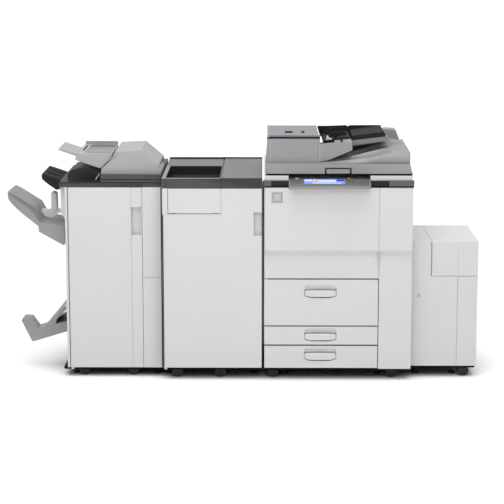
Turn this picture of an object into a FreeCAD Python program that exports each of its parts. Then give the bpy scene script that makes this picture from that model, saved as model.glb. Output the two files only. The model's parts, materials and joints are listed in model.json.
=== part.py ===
import FreeCAD, Part
import math
import os
import re

import Sketcher
from FreeCAD import Placement, Rotation, Vector

# Production photocopier: main unit, paper-folding unit and booklet finisher to its left,
# large-capacity paper tray to its right. Millimetres. X runs along the row of units (left to
# right), Y from front to back and Z up. The origin is on the floor, under the middle of the row.

DIMS = {
    # the row of units
    "total_width": 2230, "total_depth": 883,
    "main_width": 690, "lct_width": 314, "fold_width": 468, "finisher_width": 453,
    "lct_gap": 1, "fold_dock_gap": 10, "finisher_gap": 2,
    "panel_reach": 60, "fold_setback": 5, "side_setback": 60,
    "fold_depth": 730, "finisher_depth": 613, "lct_depth": 458,
    # stock: cover skin, frame sheet, cabinet wall, panel gap
    "skin": 4, "sheet": 8, "wall": 6, "seam": 4,
    # doors on pivot pins, and the cabinets behind them
    "door_thick": 30, "door_gap": 5, "door_rim": 20, "door_hollow": 20, "pivot_inset": 8, "lug_inset": 3.5,
    "pin_radius": 3, "pin_reach": 15, "fit": 0.05,
    # floor gear
    "frame_bottom": 60, "caster_top": 54, "wheel_radius": 25.5, "wheel_lift": 0.5, "wheel_width": 20,
    "web_half": 5, "axle_radius": 4, "foot_radius": 16, "foot_height": 8, "foot_stem": 5,
    # main unit
    "main_bottom": 54, "bay_width": 532, "band_bottom": 918, "strip_bottom": 949, "deck_top": 970,
    "scanner_bottom": 880, "shelf_bottom": 484, "door_bottom": 489, "door_top": 917,
    "crease_height": 621, "crease_step": 16, "crease_low": 500,
    "tray_1_bottom": 264, "tray_1_top": 483, "tray_2_bottom": 172, "tray_2_top": 258,
    "tray_3_bottom": 59, "tray_3_top": 165, "tray_front_thick": 25, "cup_thick": 25,
    "handle_centre": 373.5, "handle_width": 151, "handle_depth": 34, "grip_thick": 12,
    "grip_drop": 24, "grip_bulge": 6, "grip_sag": 700, "pan_depth": 530, "pan_wall": 3, "rail_thick": 10,
    "engine_front": -330, "engine_back": 60, "drum_x": 330, "drum_z": 700, "drum_radius": 50,
    "fuser_x": 205, "fuser_z": 650, "fuser_radius": 25, "fuser_gap": 0.4, "journal_radius": 8,
    "path_front": -250, "path_back": 100, "path_high": 730, "path_low": 606, "stack_exit": 862,
    "booklet_exit": 262, "path_height": 14,
    "vent_pitch": 40, "vent_width": 24, "vent_height": 8,
    # scanner
    "scan_front": -371.5, "scan_right": 796, "glass_left": 200, "glass_right": 640,
    "glass_front": -275, "glass_back": 35, "glass_thick": 4, "glass_seat": 6,
    "scan_rod_front": -230, "scan_rod_back": -10, "scan_rod_z": 925, "scan_rod_radius": 6,
    # control panel
    "panel_left": 223, "panel_right": 600, "panel_back": -301.5, "panel_tilt": 13.6,
    "panel_low": 918.5, "panel_floor": 932, "panel_lip": 931, "panel_hook": -384, "screen_left": 293,
    "screen_right": 481,
    # document feeder
    "adf_left": 116, "adf_right": 795, "adf_bottom": 978, "adf_top": 1025, "adf_front": -356.5,
    "adf_back": 215, "adf_hinge_y": 236, "adf_hinge_z": 996, "adf_pin": 6, "post_width": 40,
    "feeder_right": 376, "feeder_front": -331, "feeder_back": 118, "feeder_top": 1143,
    "cover_z": 1149, "cover_half": 4, "cover_pin": 2.5,
    "tray_front_y": -211, "tray_back_y": 98, "tray_pivot_x": 386, "tray_pivot_z": 1108,
    # folding unit
    "fold_bottom": 58, "fold_top": 912, "fold_frame_top": 958, "flap_bottom": 792, "flap_left": -337,
    "flap_right": -92, "flap_thick": 16, "bin_left": -348, "bin_right": -97, "bin_floor": 806,
    "bin_length": 425, "bin_inset": 20,
    # finisher
    "fin_bottom": 45, "fin_top": 909, "fin_door_left": -810, "fin_door_right": -463, "bulge": 24,
    "bulge_low": 725, "bulge_high": 780, "step_z": 933, "hump_top": 966,
    "shift_front": -251, "shift_back": 49, "booklet_front": -181, "booklet_back": 109,
    "booklet_pivot_x": -838, "booklet_pivot_z": 316,
    # sheet inserter on the finisher
    "inserter_front": -291.5, "inserter_back": 100, "cheek": 6, "hood_pin_x": -392.8, "hood_pin_z": 1002,
    # large-capacity tray
    "lct_bottom": 55, "lct_top": 655, "lct_split": 893, "lid_low": 490, "lid_thick": 9,
    "lid_pin_x": 898.5, "lid_pin_z": 650.5, "lid_round": 4.5,
}

# Places worked out from the driving dimensions above.
PLACES = {
    "panel_front": "-total_depth / 2", "main_back": "total_depth / 2",
    "main_front": "panel_front + panel_reach",
    "lct_right": "total_width / 2", "lct_left": "lct_right - lct_width",
    "main_right": "lct_left - lct_gap", "main_left": "main_right - main_width",
    "fold_right": "main_left - fold_dock_gap", "fold_left": "fold_right - fold_width",
    "fin_right": "fold_left - finisher_gap", "fin_left": "fin_right - finisher_width",
    "setback": "door_thick + door_gap",
    "main_bay": "main_front + setback", "bay_right": "main_left + bay_width",
    "column_left": "bay_right + seam",
    "frame_left": "main_left + skin", "frame_right": "main_right - skin",
    "frame_back": "main_back - sheet",
    "fold_front": "main_front + fold_setback", "fold_back": "fold_front + fold_depth",
    "fold_bay": "fold_front + setback", "fold_door_left": "fold_left + seam",
    "fin_front": "main_front + side_setback", "fin_back": "fin_front + finisher_depth",
    "fin_bay": "fin_front + setback",
    "lct_front": "main_front + side_setback", "lct_back": "lct_front + lct_depth",
    "base_top": "frame_bottom + sheet", "axle_z": "wheel_radius + wheel_lift",
    "pan_front": "main_front + tray_front_thick + cup_thick",
    "engine_bottom": "shelf_bottom + sheet", "engine_top": "scanner_bottom - sheet",
    "pressure_z": "fuser_z - 2 * fuser_radius - fuser_gap",
}

doc = FreeCAD.newDocument("photocopier")
sheet = doc.addObject("Spreadsheet::Sheet", "dims")
for row, (alias, value) in enumerate(DIMS.items(), start=1):
    sheet.set(f"A{row}", alias)
    sheet.set(f"B{row}", str(value))
    sheet.setAlias(f"B{row}", alias)
doc.recompute()

sub_parts = []


# ---- expressions ------------------------------------------------------------------------------

def formula(text):
    """An expression on the sheet's cells, from one written with the plain names."""
    def expand(match):
        word = match.group(0)
        return f"({formula(PLACES[word])})" if word in PLACES else f"dims.{word}"
    return re.sub(r"\b[a-z][a-z0-9_]*\b(?!\()", expand, str(text))


def number(text):
    return float(sheet.evalExpression(formula(text)))


def bind(obj, prop, text):
    obj.setExpression(prop, formula(text))


def place(obj, x, y, z):
    for axis, value in zip("xyz", (x, y, z)):
        bind(obj, f"Placement.Base.{axis}", value)
    return obj


# ---- solids -----------------------------------------------------------------------------------

def block(name, x, y, z):
    """A box given by its low and high end along each axis."""
    obj = doc.addObject("Part::Box", name)
    for prop, (low, high) in zip(("Length", "Width", "Height"), (x, y, z)):
        bind(obj, prop, f"({high}) - ({low})")
    return place(obj, x[0], y[0], z[0])


TURNS = {
    "x": Rotation(Vector(0, 1, 0), 90),
    "y": Rotation(Vector(1, 0, 0), -90),
    "z": Rotation(),
}


def rod(name, axis, centre, radius, span):
    """A round bar along one axis. Its centre is given in the other two, in X, Y, Z order."""
    obj = doc.addObject("Part::Cylinder", name)
    bind(obj, "Radius", radius)
    bind(obj, "Height", f"({span[1]}) - ({span[0]})")
    obj.Placement = Placement(Vector(), TURNS[axis])
    corner = list(centre)
    corner.insert("xyz".index(axis), span[0])
    return place(obj, *corner)


def join(name, shapes):
    obj = doc.addObject("Part::MultiFuse", name)
    obj.Shapes = shapes
    return obj


def cut(name, base, tools):
    obj = doc.addObject("Part::Cut", name)
    obj.Base = base
    obj.Tool = tools[0] if len(tools) == 1 else join(f"{name}_cuts", tools)
    return obj


def assembled(name, plates, holes):
    """Separate plates that meet face to face: each gives way to those before it and to the holes."""
    trimmed = [cut(f"{name}_{plate.Name}", plate, plates[:index] + holes)
               for index, plate in enumerate(plates)]
    obj = doc.addObject("Part::Compound", name)
    obj.Links = trimmed
    return obj


def common(name, first, second):
    obj = doc.addObject("Part::Common", name)
    obj.Base = first
    obj.Tool = second
    return obj


def bend(sketch, edge, corner, following):
    """Fix an arc between two placed ends: by its centre on a half circle, else by its radius."""
    across = number(f"({following[0]}) - ({corner[0]})")
    along_up = number(f"({following[1]}) - ({corner[1]})")
    radius = abs(number(corner[2]))
    if math.hypot(across, along_up) < 2 * radius - 1e-6:
        text = f"abs({corner[2]})"
        size = Sketcher.Constraint("Radius", edge, radius)
    else:
        kind, index = ("DistanceX", 0) if abs(along_up) > abs(across) else ("DistanceY", 1)
        text = f"(({corner[index]}) + ({following[index]})) / 2"
        size = Sketcher.Constraint(kind, -1, 1, edge, 3, number(text))
    sketch.setExpression(f"Constraints[{sketch.addConstraint(size)}]", formula(text))


def trace(sketch, corners):
    """Closed outline. A third value on a corner is the radius of the arc to the next corner,
    positive where the arc bulges to the right of the way the outline runs."""
    points = [Vector(number(corner[0]), number(corner[1]), 0) for corner in corners]
    ends = []
    for index, corner in enumerate(corners):
        start = points[index]
        finish = points[(index + 1) % len(points)]
        if len(corner) == 2:
            edge = sketch.addGeometry(Part.LineSegment(start, finish), False)
            ends.append((edge, 1, 2))
            continue
        radius = abs(number(corner[2]))
        side = 1 if number(corner[2]) > 0 else -1
        chord = finish - start
        left = Vector(-chord.y, chord.x, 0).normalize() * side
        rise = math.sqrt(max(radius ** 2 - chord.Length ** 2 / 4, 0))
        centre = (start + finish) * 0.5 + left * rise
        edge = sketch.addGeometry(Part.Arc(start, centre - left * radius, finish), False)
        ends.append((edge, 1, 2) if side > 0 else (edge, 2, 1))
    for index, corner in enumerate(corners):
        edge, first, last = ends[index]
        following, start, _ = ends[(index + 1) % len(ends)]
        sketch.addConstraint(Sketcher.Constraint("Coincident", edge, last, following, start))
        for kind, text in (("DistanceX", corner[0]), ("DistanceY", corner[1])):
            size = Sketcher.Constraint(kind, -1, 1, edge, first, number(text))
            sketch.setExpression(f"Constraints[{sketch.addConstraint(size)}]", formula(text))
        if len(corner) == 3:
            bend(sketch, edge, corner, corners[(index + 1) % len(corners)])


def profile(name, plane, corners, span):
    """An outline on the XY, XZ or YZ plane, padded along the third axis over a span."""
    body = doc.addObject("PartDesign::Body", name)
    sketch = body.newObject("Sketcher::SketchObject", f"{name}_outline")
    origin = [item for item in body.Origin.OriginFeatures if item.Role == f"{plane}_Plane"][0]
    sketch.AttachmentSupport = [(origin, "")]
    sketch.MapMode = "FlatFace"
    trace(sketch, corners)
    pad = body.newObject("PartDesign::Pad", f"{name}_pad")
    pad.Profile = sketch
    pad.Reversed = plane == "XZ"
    bind(pad, "Length", f"({span[1]}) - ({span[0]})")
    axis = {"XY": "z", "XZ": "y", "YZ": "x"}[plane]
    bind(body, f"Placement.Base.{axis}", span[0])
    return body


def sub_part(node, obj):
    obj.Label = node
    sub_parts.append(obj)
    return obj


# ---- floor gear -------------------------------------------------------------------------------

# wheel pair, X, front Y, back Y
CASTERS = (
    ("finisher_left_wheels", -745, -262, 240),
    ("finisher_right_wheels", -513, -262, 240),
    ("fold_left_wheels", -302, -301, 300),
    ("fold_right_wheels", -98, -301, 300),
    ("main_left_wheels", 152, -301, 380),
    ("main_right_wheels", 712, -301, 380),
    ("lct_wheels", 1058, -271, 90),
)
FEET = ((-792, -240), (-400, -240), (-792, 255), (-400, 255), (-345, -240), (60, -240), (-345, 240),
        (60, 240), (215, -250), (655, -250), (215, 330), (655, 330), (835, -240), (1010, -240),
        (835, 100), (1010, 100))


def caster_fork(name, x, y):
    plate = block(f"{name}_plate", (f"{x} - 24", f"{x} + 24"), (f"{y} - 27", f"{y} + 27"),
                  ("caster_top", "frame_bottom"))
    web = block(f"{name}_web", (f"{x} - 10", f"{x} + 10"), (f"{y} - web_half", f"{y} + web_half"),
                ("axle_z", "caster_top"))
    boss = rod(f"{name}_boss", "y", (x, "axle_z"), "3 * axle_radius",
               (f"{y} - web_half", f"{y} + web_half"))
    reach = "web_half + wheel_width + 2"
    axle = rod(f"{name}_axle", "y", (x, "axle_z"), "axle_radius", (f"{y} - ({reach})", f"{y} + {reach}"))
    return join(name, [plate, web, boss, axle])


def wheel_pair(name, x, y):
    """Two discs on one axle, either side of the fork's web."""
    near = "web_half + 1"
    far = f"{near} + wheel_width"
    discs = []
    for side, span in (("a", (f"{y} - ({far})", f"{y} - ({near})")),
                       ("b", (f"{y} + {near}", f"{y} + {far}"))):
        tyre = rod(f"{name}_{side}_tyre", "y", (x, "axle_z"), "wheel_radius", span)
        bore = rod(f"{name}_{side}_bore", "y", (x, "axle_z"), "axle_radius + fit", span)
        discs.append(cut(f"{name}_{side}", tyre, [bore]))
    return discs


def levelling_foot(name, x, y):
    pad = rod(f"{name}_pad", "z", (x, y), "foot_radius", (0, "foot_height"))
    stem = rod(f"{name}_stem", "z", (x, y), "foot_stem", ("foot_height", "frame_bottom"))
    return join(name, [pad, stem])


def floor_gear():
    forks = []
    for name, x, front, back in CASTERS:
        forks += [caster_fork(f"{name}_fork_{side}", x, y) for side, y in (("f", front), ("r", back))]
        discs = wheel_pair(f"{name}_f", x, front) + wheel_pair(f"{name}_r", x, back)
        sub_part(name, join(name, discs))
    sub_part("caster_forks", join("caster_forks", forks))
    feet = [levelling_foot(f"foot_{index}", x, y) for index, (x, y) in enumerate(FEET)]
    sub_part("levelling_feet", join("levelling_feet", feet))


# ---- doors on pivot pins ----------------------------------------------------------------------

# name, door's left edge, front face, bottom and top of the pivots
PIVOTS = (
    ("front_door", "main_left + 1", "main_front", "door_bottom", "door_top"),
    ("fold_door", "fold_door_left", "fold_front", "fold_bottom", "flap_bottom - 1"),
    ("finisher_door", "fin_door_left", "fin_front", "fin_bottom", "fin_top - 1"),
)


def pivot_bores(name, left, front, bottom, top):
    """The two blind bores of a door, at its lower and upper left corners."""
    centre = (f"{left} + pivot_inset", f"{front} + pivot_inset")
    spans = ((bottom, f"{bottom} + pin_reach + 1"), (f"{top} - pin_reach - 1", top))
    return [rod(f"{name}_bore_{index}", "z", centre, "pin_radius + fit", span)
            for index, span in enumerate(spans)]


def pivot_outline(left, right, front):
    """A door seen from above. The corner at the pivot is round, about the pin."""
    back = f"{front} + door_thick"
    return [
        (left, back),
        (left, f"{front} + pivot_inset", "pivot_inset"),
        (f"{left} + pivot_inset", front),
        (right, front),
        (right, back),
    ]


def lower_lug(name, left, front, door_low, depth):
    """The bracket under a door that holds its lower pin, back to the cabinet."""
    lug = block(f"{name}_lug", (f"{left} + lug_inset", f"{left} + 2 * pivot_inset"),
                (f"{front} + 2", f"{front} + setback + 30"),
                (f"{door_low} - 1 - {depth}", f"{door_low} - 1"))
    bore = rod(f"{name}_lug_bore", "z", (f"{left} + pivot_inset", f"{front} + pivot_inset"), "pin_radius",
               (f"{door_low} - 1 - {depth}", f"{door_low} - 1"))
    return cut(f"{name}_lug_bored", lug, [bore])


def upper_socket(name, left, front, door_high):
    """The bore above a door that holds its upper pin."""
    return rod(f"{name}_socket", "z", (f"{left} + pivot_inset", f"{front} + pivot_inset"), "pin_radius",
               (door_high, f"{door_high} + 1 + pin_reach"))


LUG_DEPTHS = {"front_door": 4, "fold_door": 8, "finisher_door": 8}


def pivot_pins():
    pins = []
    for name, left, front, bottom, top in PIVOTS:
        centre = (f"{left} + pivot_inset", f"{front} + pivot_inset")
        low = (f"{bottom} - 1 - {LUG_DEPTHS[name]}", f"{bottom} + pin_reach")
        high = (f"{top} - pin_reach", f"{top} + 1 + pin_reach")
        pins += [rod(f"{name}_pin_{index}", "z", centre, "pin_radius", span)
                 for index, span in enumerate((low, high))]
    return pins


# ---- main unit --------------------------------------------------------------------------------

def path_slot(name, x, level):
    """A slot through a wall for sheets to pass."""
    return block(name, x, ("path_front", "path_back"), (level, f"{level} + path_height"))


def window_frame(name, x, y, z, window_x, window_z):
    """An upright sheet with a window, made of two posts, a sill and a header."""
    return [
        block(f"{name}_post_low", (x[0], window_x[0]), y, z),
        block(f"{name}_post_high", (window_x[1], x[1]), y, z),
        block(f"{name}_sill", window_x, y, (z[0], window_z[0])),
        block(f"{name}_header", window_x, y, (window_z[1], z[1])),
    ]


def main_chassis():
    """The frame: plates of sheet steel, screwed together where they meet."""
    wide = ("frame_left", "frame_right")
    deep = ("main_bay", "frame_back")
    tall = ("frame_bottom", "scanner_bottom")
    engine = ("engine_bottom", "engine_top")
    shelf = block("chassis_shelf", wide, deep, ("shelf_bottom", "engine_bottom"))
    rear = ("frame_back - sheet", "frame_back")
    service_x = ("frame_left + 90", "frame_right - 90")
    service_z = ("engine_bottom + 30", "engine_top - 30")
    plates = [
        block("left", ("frame_left", "frame_left + sheet"), deep, tall),
        block("right", ("frame_right - sheet", "frame_right"), deep, tall),
        block("base", wide, deep, ("frame_bottom", "base_top")),
        join("shelf", [shelf, lower_lug("front_door", "main_left + 1", "main_front", "door_bottom", 4)]),
        block("ceiling", wide, deep, ("engine_top", "scanner_bottom")),
        block("bay_wall", ("bay_right", "bay_right + sheet"), deep, ("frame_bottom", "engine_bottom")),
        block("engine_rear_plate", wide, ("engine_back", "engine_back + sheet"), engine),
    ]
    plates += window_frame("engine_front", wide, ("engine_front", "engine_front + sheet"), engine,
                           ("drum_x + 120", "frame_right - 40"), service_z)
    plates += window_frame("rear_high", wide, rear, engine, service_x, service_z)
    plates += window_frame("rear_low", wide, rear, ("base_top", "shelf_bottom"),
                           ("frame_left + 90", "bay_right - 90"), ("base_top + 60", "shelf_bottom - 60"))
    through = ("engine_front - 1", "engine_back + sheet + 1")
    holes = [
        rod("drum_seat", "y", ("drum_x", "drum_z"), "journal_radius + fit", through),
        rod("hot_seat", "y", ("fuser_x", "fuser_z"), "journal_radius + fit", through),
        rod("pressure_seat", "y", ("fuser_x", "pressure_z"), "journal_radius + fit", through),
        path_slot("chassis_exit", ("frame_left - 1", "frame_left + sheet + 1"), "path_high"),
        path_slot("chassis_feed", ("frame_right - sheet - 1", "frame_right + 1"), "path_low"),
    ]
    sub_part("main_chassis", assembled("main_chassis", plates, holes))


def main_covers():
    deep = ("main_bay", "frame_back")
    tall = ("main_bottom", "strip_bottom")
    left = cut("left_cover", block("left_cover_sheet", ("main_left", "frame_left"), deep, tall),
               [path_slot("left_cover_slot", ("main_left - 1", "frame_left + 1"), "path_high")])
    right = cut("right_cover", block("right_cover_sheet", ("frame_right", "main_right"), deep, tall),
                [path_slot("right_cover_slot", ("frame_right - 1", "main_right + 1"), "path_low")])
    sub_part("main_side_covers", join("main_side_covers", [left, right]))

    rear = block("rear_cover_sheet", ("main_left", "main_right"), ("frame_back", "main_back"), tall)
    vents = []
    for row, level in enumerate((130, 700, 830)):
        for column in range(13):
            left_edge = f"main_left + 90 + {column} * vent_pitch"
            vents.append(block(f"vent_{row}_{column}", (left_edge, f"{left_edge} + vent_width"),
                               ("frame_back - 1", "main_back + 1"), (level, f"{level} + vent_height")))
    sub_part("main_rear_cover", cut("main_rear_cover", rear, vents))


def creased_face(name, span, back, low, high):
    """A front panel whose upper part stands proud of a crease and flows back out below it."""
    inner = "main_front + crease_step"
    corners = [
        ("main_front", low),
        (back, low),
        (back, high),
        ("main_front", high),
        ("main_front", "crease_height", "-crease_step"),
        (inner, "crease_height - crease_step"),
        ("main_front + crease_step / 2", "crease_height - 60"),
        ("main_front", "crease_low"),
    ]
    return profile(name, "YZ", corners, span)


def front_doors_and_column():
    left = "main_left + 1"
    face = creased_face("door_face", (left, "bay_right"), "main_front + door_thick", "door_bottom",
                        "door_top")
    plan = profile("door_plan", "XY", pivot_outline(left, "bay_right", "main_front"),
                   ("door_bottom", "door_top"))
    hollow = block("door_hollow_cut", (f"{left} + 2 * door_rim", "bay_right - door_rim"),
                   ("main_front + door_thick - 9", "main_front + door_thick + 1"),
                   ("door_bottom + door_rim", "door_top - door_rim"))
    sub_part("front_door", cut("front_door", common("door_blank", face, plan),
                               pivot_bores(*PIVOTS[0]) + [hollow]))
    sub_part("main_front_column", creased_face("main_front_column", ("column_left", "main_right"),
                                               "main_bay", "main_bottom", "door_top"))


HANDLES = {"tray_1": (395, 458), "tray_2": (187, 250), "tray_3": (92, 157)}


def tray_front(name):
    low, high = HANDLES[name]
    bottom, top = f"{name}_bottom", f"{name}_top"
    face = block(f"{name}_face", ("main_left + 1", "bay_right"),
                 ("main_front", "main_front + tray_front_thick"), (bottom, top))
    backing = block(f"{name}_backing", ("main_left + 36", "bay_right - 36"),
                    ("main_front + tray_front_thick", "pan_front"), (f"{bottom} + 13", f"{top} - 6"))
    left, right = "handle_centre - handle_width / 2", "handle_centre + handle_width / 2"
    pocket = profile(f"{name}_pocket", "XZ", [
        (left, low), (right, low), (right, f"{high} - 14"), (f"{right} - 12", high),
        (f"{left} + 12", high), (left, f"{high} - 14"),
    ], ("main_front - 1", "main_front + handle_depth"))
    grip = profile(f"{name}_grip", "XZ", [
        (left, f"{low} + 9", "grip_sag"), (right, f"{low} + 9"),
        (right, f"{high} - grip_drop"), (left, f"{high} - grip_drop"),
    ], ("main_front - grip_bulge", "main_front - grip_bulge + grip_thick"))
    hollowed = cut(f"{name}_hollowed", join(f"{name}_panel", [face, backing]), [pocket])
    sub_part(f"{name}_front", join(f"{name}_front", [hollowed, grip]))


def tray_pan(name, depth):
    """An open-topped pan behind the tray's front, as deep as its stack of paper."""
    low = f"{name}_bottom + 16"
    left, right = "frame_left + sheet + rail_thick + 1", "bay_right - rail_thick - 1"
    back = "pan_front + pan_depth"
    shell = block(f"{name}_shell", (left, right), ("pan_front", back), (low, f"{low} + {depth}"))
    space = block(f"{name}_space", (f"{left} + pan_wall", f"{right} - pan_wall"),
                  ("pan_front + pan_wall", f"{back} - pan_wall"),
                  (f"{low} + pan_wall", f"{low} + {depth} + 1"))
    sub_part(f"{name}_pan", cut(f"{name}_pan", shell, [space]))


def drawers():
    for name, depth in (("tray_1", 180), ("tray_2", 60), ("tray_3", 72)):
        tray_front(name)
        tray_pan(name, depth)
    rails = []
    for name in HANDLES:
        level = (f"{name}_bottom + 20", f"{name}_bottom + 40")
        long = ("main_bay + 10", "pan_front + pan_depth")
        rails.append(block(f"{name}_rail_left", ("frame_left + sheet", "frame_left + sheet + rail_thick"),
                           long, level))
        rails.append(block(f"{name}_rail_right", ("bay_right - rail_thick", "bay_right"), long, level))
    sub_part("drawer_rails", join("drawer_rails", rails))


def print_engine():
    rollers = (
        ("photoconductor_drum", ("drum_x", "drum_z"), "drum_radius"),
        ("hot_roller", ("fuser_x", "fuser_z"), "fuser_radius"),
        ("pressure_roller", ("fuser_x", "pressure_z"), "fuser_radius"),
    )
    for name, centre, radius in rollers:
        barrel = rod(f"{name}_barrel", "y", centre, radius,
                     ("engine_front + 2 * sheet", "engine_back - sheet"))
        shaft = rod(f"{name}_shaft", "y", centre, "journal_radius",
                    ("engine_front - 4", "engine_back + 2 * sheet"))
        sub_part(name, join(name, [barrel, shaft]))


def front_band():
    blank = block("band_blank", ("main_left - 6", "main_right + 3"), ("main_front - 2", "main_bay"),
                  ("band_bottom", "strip_bottom"))
    recesses = [block(f"band_recess_{index}", span, ("main_front - 3", "main_front + 10"),
                      ("band_bottom + 5", "strip_bottom - 4"))
                for index, span in enumerate(((143, 215), (608, 686)))]
    notch = block("band_notch", ("panel_left - 1", "panel_right + 1"), ("main_front - 3", "main_bay + 1"),
                  ("panel_floor", "strip_bottom + 1"))
    socket = upper_socket("front_door", "main_left + 1", "main_front", "door_top")
    sub_part("front_band", cut("front_band", blank, recesses + [notch, socket]))


# ---- scanner and control panel ----------------------------------------------------------------

def scanner():
    tub = block("scanner_tub", ("frame_left", "frame_right"), ("main_bay", "frame_back"),
                ("scanner_bottom", "strip_bottom"))
    top = block("scanner_deck", ("main_left", "scan_right"), ("scan_front", "main_back"),
                ("strip_bottom", "deck_top"))
    posts = [block(f"hinge_post_{index}", (left, f"{left} + post_width"),
                   ("adf_hinge_y - 15", "adf_hinge_y + 20"), ("deck_top", "adf_hinge_z + 14"))
             for index, left in enumerate((200, 640))]
    inside = block("scanner_inside", ("frame_left + 20", "frame_right - 20"), (-290, 420),
                   ("scanner_bottom + sheet", "deck_top - 2 * glass_thick"))
    opening = block("glass_opening", ("glass_left + glass_seat", "glass_right - glass_seat"),
                    ("glass_front + glass_seat", "glass_back - glass_seat"),
                    ("deck_top - 20", "deck_top + 1"))
    seat = block("glass_recess", ("glass_left", "glass_right"), ("glass_front", "glass_back"),
                 ("deck_top - glass_thick", "deck_top + 1"))
    notch = block("panel_notch", ("panel_left - 1", "panel_right + 1"),
                  ("scan_front - 1", "panel_back + 1"),
                  ("strip_bottom", "deck_top + 1"))
    pin_holes = rod("post_bore", "x", ("adf_hinge_y", "adf_hinge_z"), "adf_pin", (190, 690))
    shell = cut("scanner_shell", join("scanner_blank", [tub, top] + posts),
                [inside, opening, seat, notch, pin_holes])
    rods = [rod(f"scan_rod_{side}", "x", (f"scan_rod_{side}", "scan_rod_z"), "scan_rod_radius",
                ("frame_left + 19", "frame_right - 19")) for side in ("front", "back")]
    sub_part("scanner_housing", join("scanner_housing", [shell] + rods))

    sub_part("exposure_glass", block("exposure_glass", ("glass_left", "glass_right"),
                                     ("glass_front", "glass_back"), ("deck_top - glass_thick", "deck_top")))

    carriage = block("carriage_blank", ("frame_left + 40", "frame_left + 100"),
                     ("scan_rod_front - 30", "scan_rod_back + 30"), ("scan_rod_z - 18", "scan_rod_z + 22"))
    bores = [rod(f"carriage_bore_{side}", "x", (f"scan_rod_{side}", "scan_rod_z"), "scan_rod_radius + fit",
                 ("frame_left + 39", "frame_left + 101")) for side in ("front", "back")]
    sub_part("scan_carriage", cut("scan_carriage", carriage, bores))


def on_panel(reach, lift=0):
    """Y and Z of a point on the tilted top of the control panel, by its distance from the lip."""
    y = f"panel_front + ({reach}) * cos(panel_tilt * 1deg) - ({lift}) * sin(panel_tilt * 1deg)"
    z = f"panel_lip + ({reach}) * sin(panel_tilt * 1deg) + ({lift}) * cos(panel_tilt * 1deg)"
    return y, z


def tilted(obj, x, y, z):
    """Turn a solid onto the panel's slope and place its corner."""
    obj.Placement = Placement(Vector(), Rotation(Vector(1, 0, 0), number("panel_tilt")))
    return place(obj, x, y, z)


def panel_slab(name, x, reach, lift):
    """A thin box lying on the panel's slope."""
    obj = doc.addObject("Part::Box", name)
    for prop, (low, high) in zip(("Length", "Width", "Height"), (x, reach, lift)):
        bind(obj, prop, f"({high}) - ({low})")
    return tilted(obj, x[0], *on_panel(reach[0], lift[0]))


def panel_button(name, x, reach, radius, lift):
    obj = doc.addObject("Part::Cylinder", name)
    bind(obj, "Radius", radius)
    bind(obj, "Height", f"({lift[1]}) - ({lift[0]})")
    return tilted(obj, x, *on_panel(reach, lift[0]))


START_KEY = (545, 54, 11)
STOP_KEY = (519, 54, 8)
KEY_COLUMNS = (562, 574, 586)
KEY_ROWS = (40, 54, 68, 82)


def control_panel():
    top_back = "panel_lip + (panel_back - panel_front) * tan(panel_tilt * 1deg)"
    blank = profile("panel_blank", "YZ", [
        ("panel_front", "panel_low + 2"), ("panel_front + 6", "panel_low"), ("panel_hook", "panel_low"),
        ("panel_hook", "panel_floor"), ("main_bay - 0.5", "panel_floor"),
        ("main_bay - 0.5", "strip_bottom"),
        ("panel_back", "strip_bottom"), ("panel_back", top_back),
        ("panel_front", "panel_lip"),
    ], ("panel_left", "panel_right"))
    wells = [
        panel_slab("screen_well", ("screen_left - 0.5", "screen_right + 0.5"), (31.5, 102.5), (-3, 5)),
        panel_button("start_well", START_KEY[0], START_KEY[1], START_KEY[2] + 0.4, (-6, 5)),
        panel_button("stop_well", STOP_KEY[0], STOP_KEY[1], STOP_KEY[2] + 0.4, (-6, 5)),
        panel_slab("number_well", (556, 592), (33, 89), (-6, 5)),
    ]
    sub_part("control_panel", cut("control_panel", blank, wells))
    sub_part("touch_screen", panel_slab("touch_screen", ("screen_left", "screen_right"), (32, 102),
                                        (-3, 0.6)))
    for name, (x, reach, radius) in (("start_key", START_KEY), ("stop_key", STOP_KEY)):
        sub_part(name, panel_button(name, x, reach, radius, (-3, 2.5)))
    mat = panel_slab("key_mat", (556.5, 591.5), (33.5, 88.5), (-3, -1.6))
    keys = [panel_button(f"key_{column}_{row}", x, reach, 4.4, (-1.6, 2))
            for column, x in enumerate(KEY_COLUMNS) for row, reach in enumerate(KEY_ROWS)]
    sub_part("number_keys", join("number_keys", [mat] + keys))


# ---- document feeder --------------------------------------------------------------------------

def feeder_base():
    slab = profile("adf_slab", "XZ", [
        ("adf_left", "adf_bottom"), ("adf_right", "adf_bottom"), ("adf_right - 4", "adf_bottom + 24"),
        ("adf_right - 10", "adf_top"), ("adf_left + 3", "adf_top"),
    ], ("adf_front", "adf_back"))
    arms = [block(f"hinge_arm_{index}", (left, f"{left} + 28"), ("adf_back - 1", "adf_hinge_y + 10"),
                  ("adf_hinge_z - 10", "adf_hinge_z + 10"))
            for index, left in enumerate((240.5, 611.5))]
    recess = block("lift_recess", (390, 514), ("adf_front - 1", "adf_front + 26"), ("adf_bottom - 1", 1006))
    bore = rod("arm_bore", "x", ("adf_hinge_y", "adf_hinge_z"), "adf_pin + fit", (230, 650))
    sub_part("adf_base", cut("adf_base", join("adf_base_blank", [slab] + arms), [recess, bore]))
    sub_part("platen_pad", block("platen_pad", ("glass_left - 10", "glass_right + 10"),
                                 ("glass_front - 15", "glass_back + 15"), ("deck_top + 0.4", "adf_bottom")))


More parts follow.
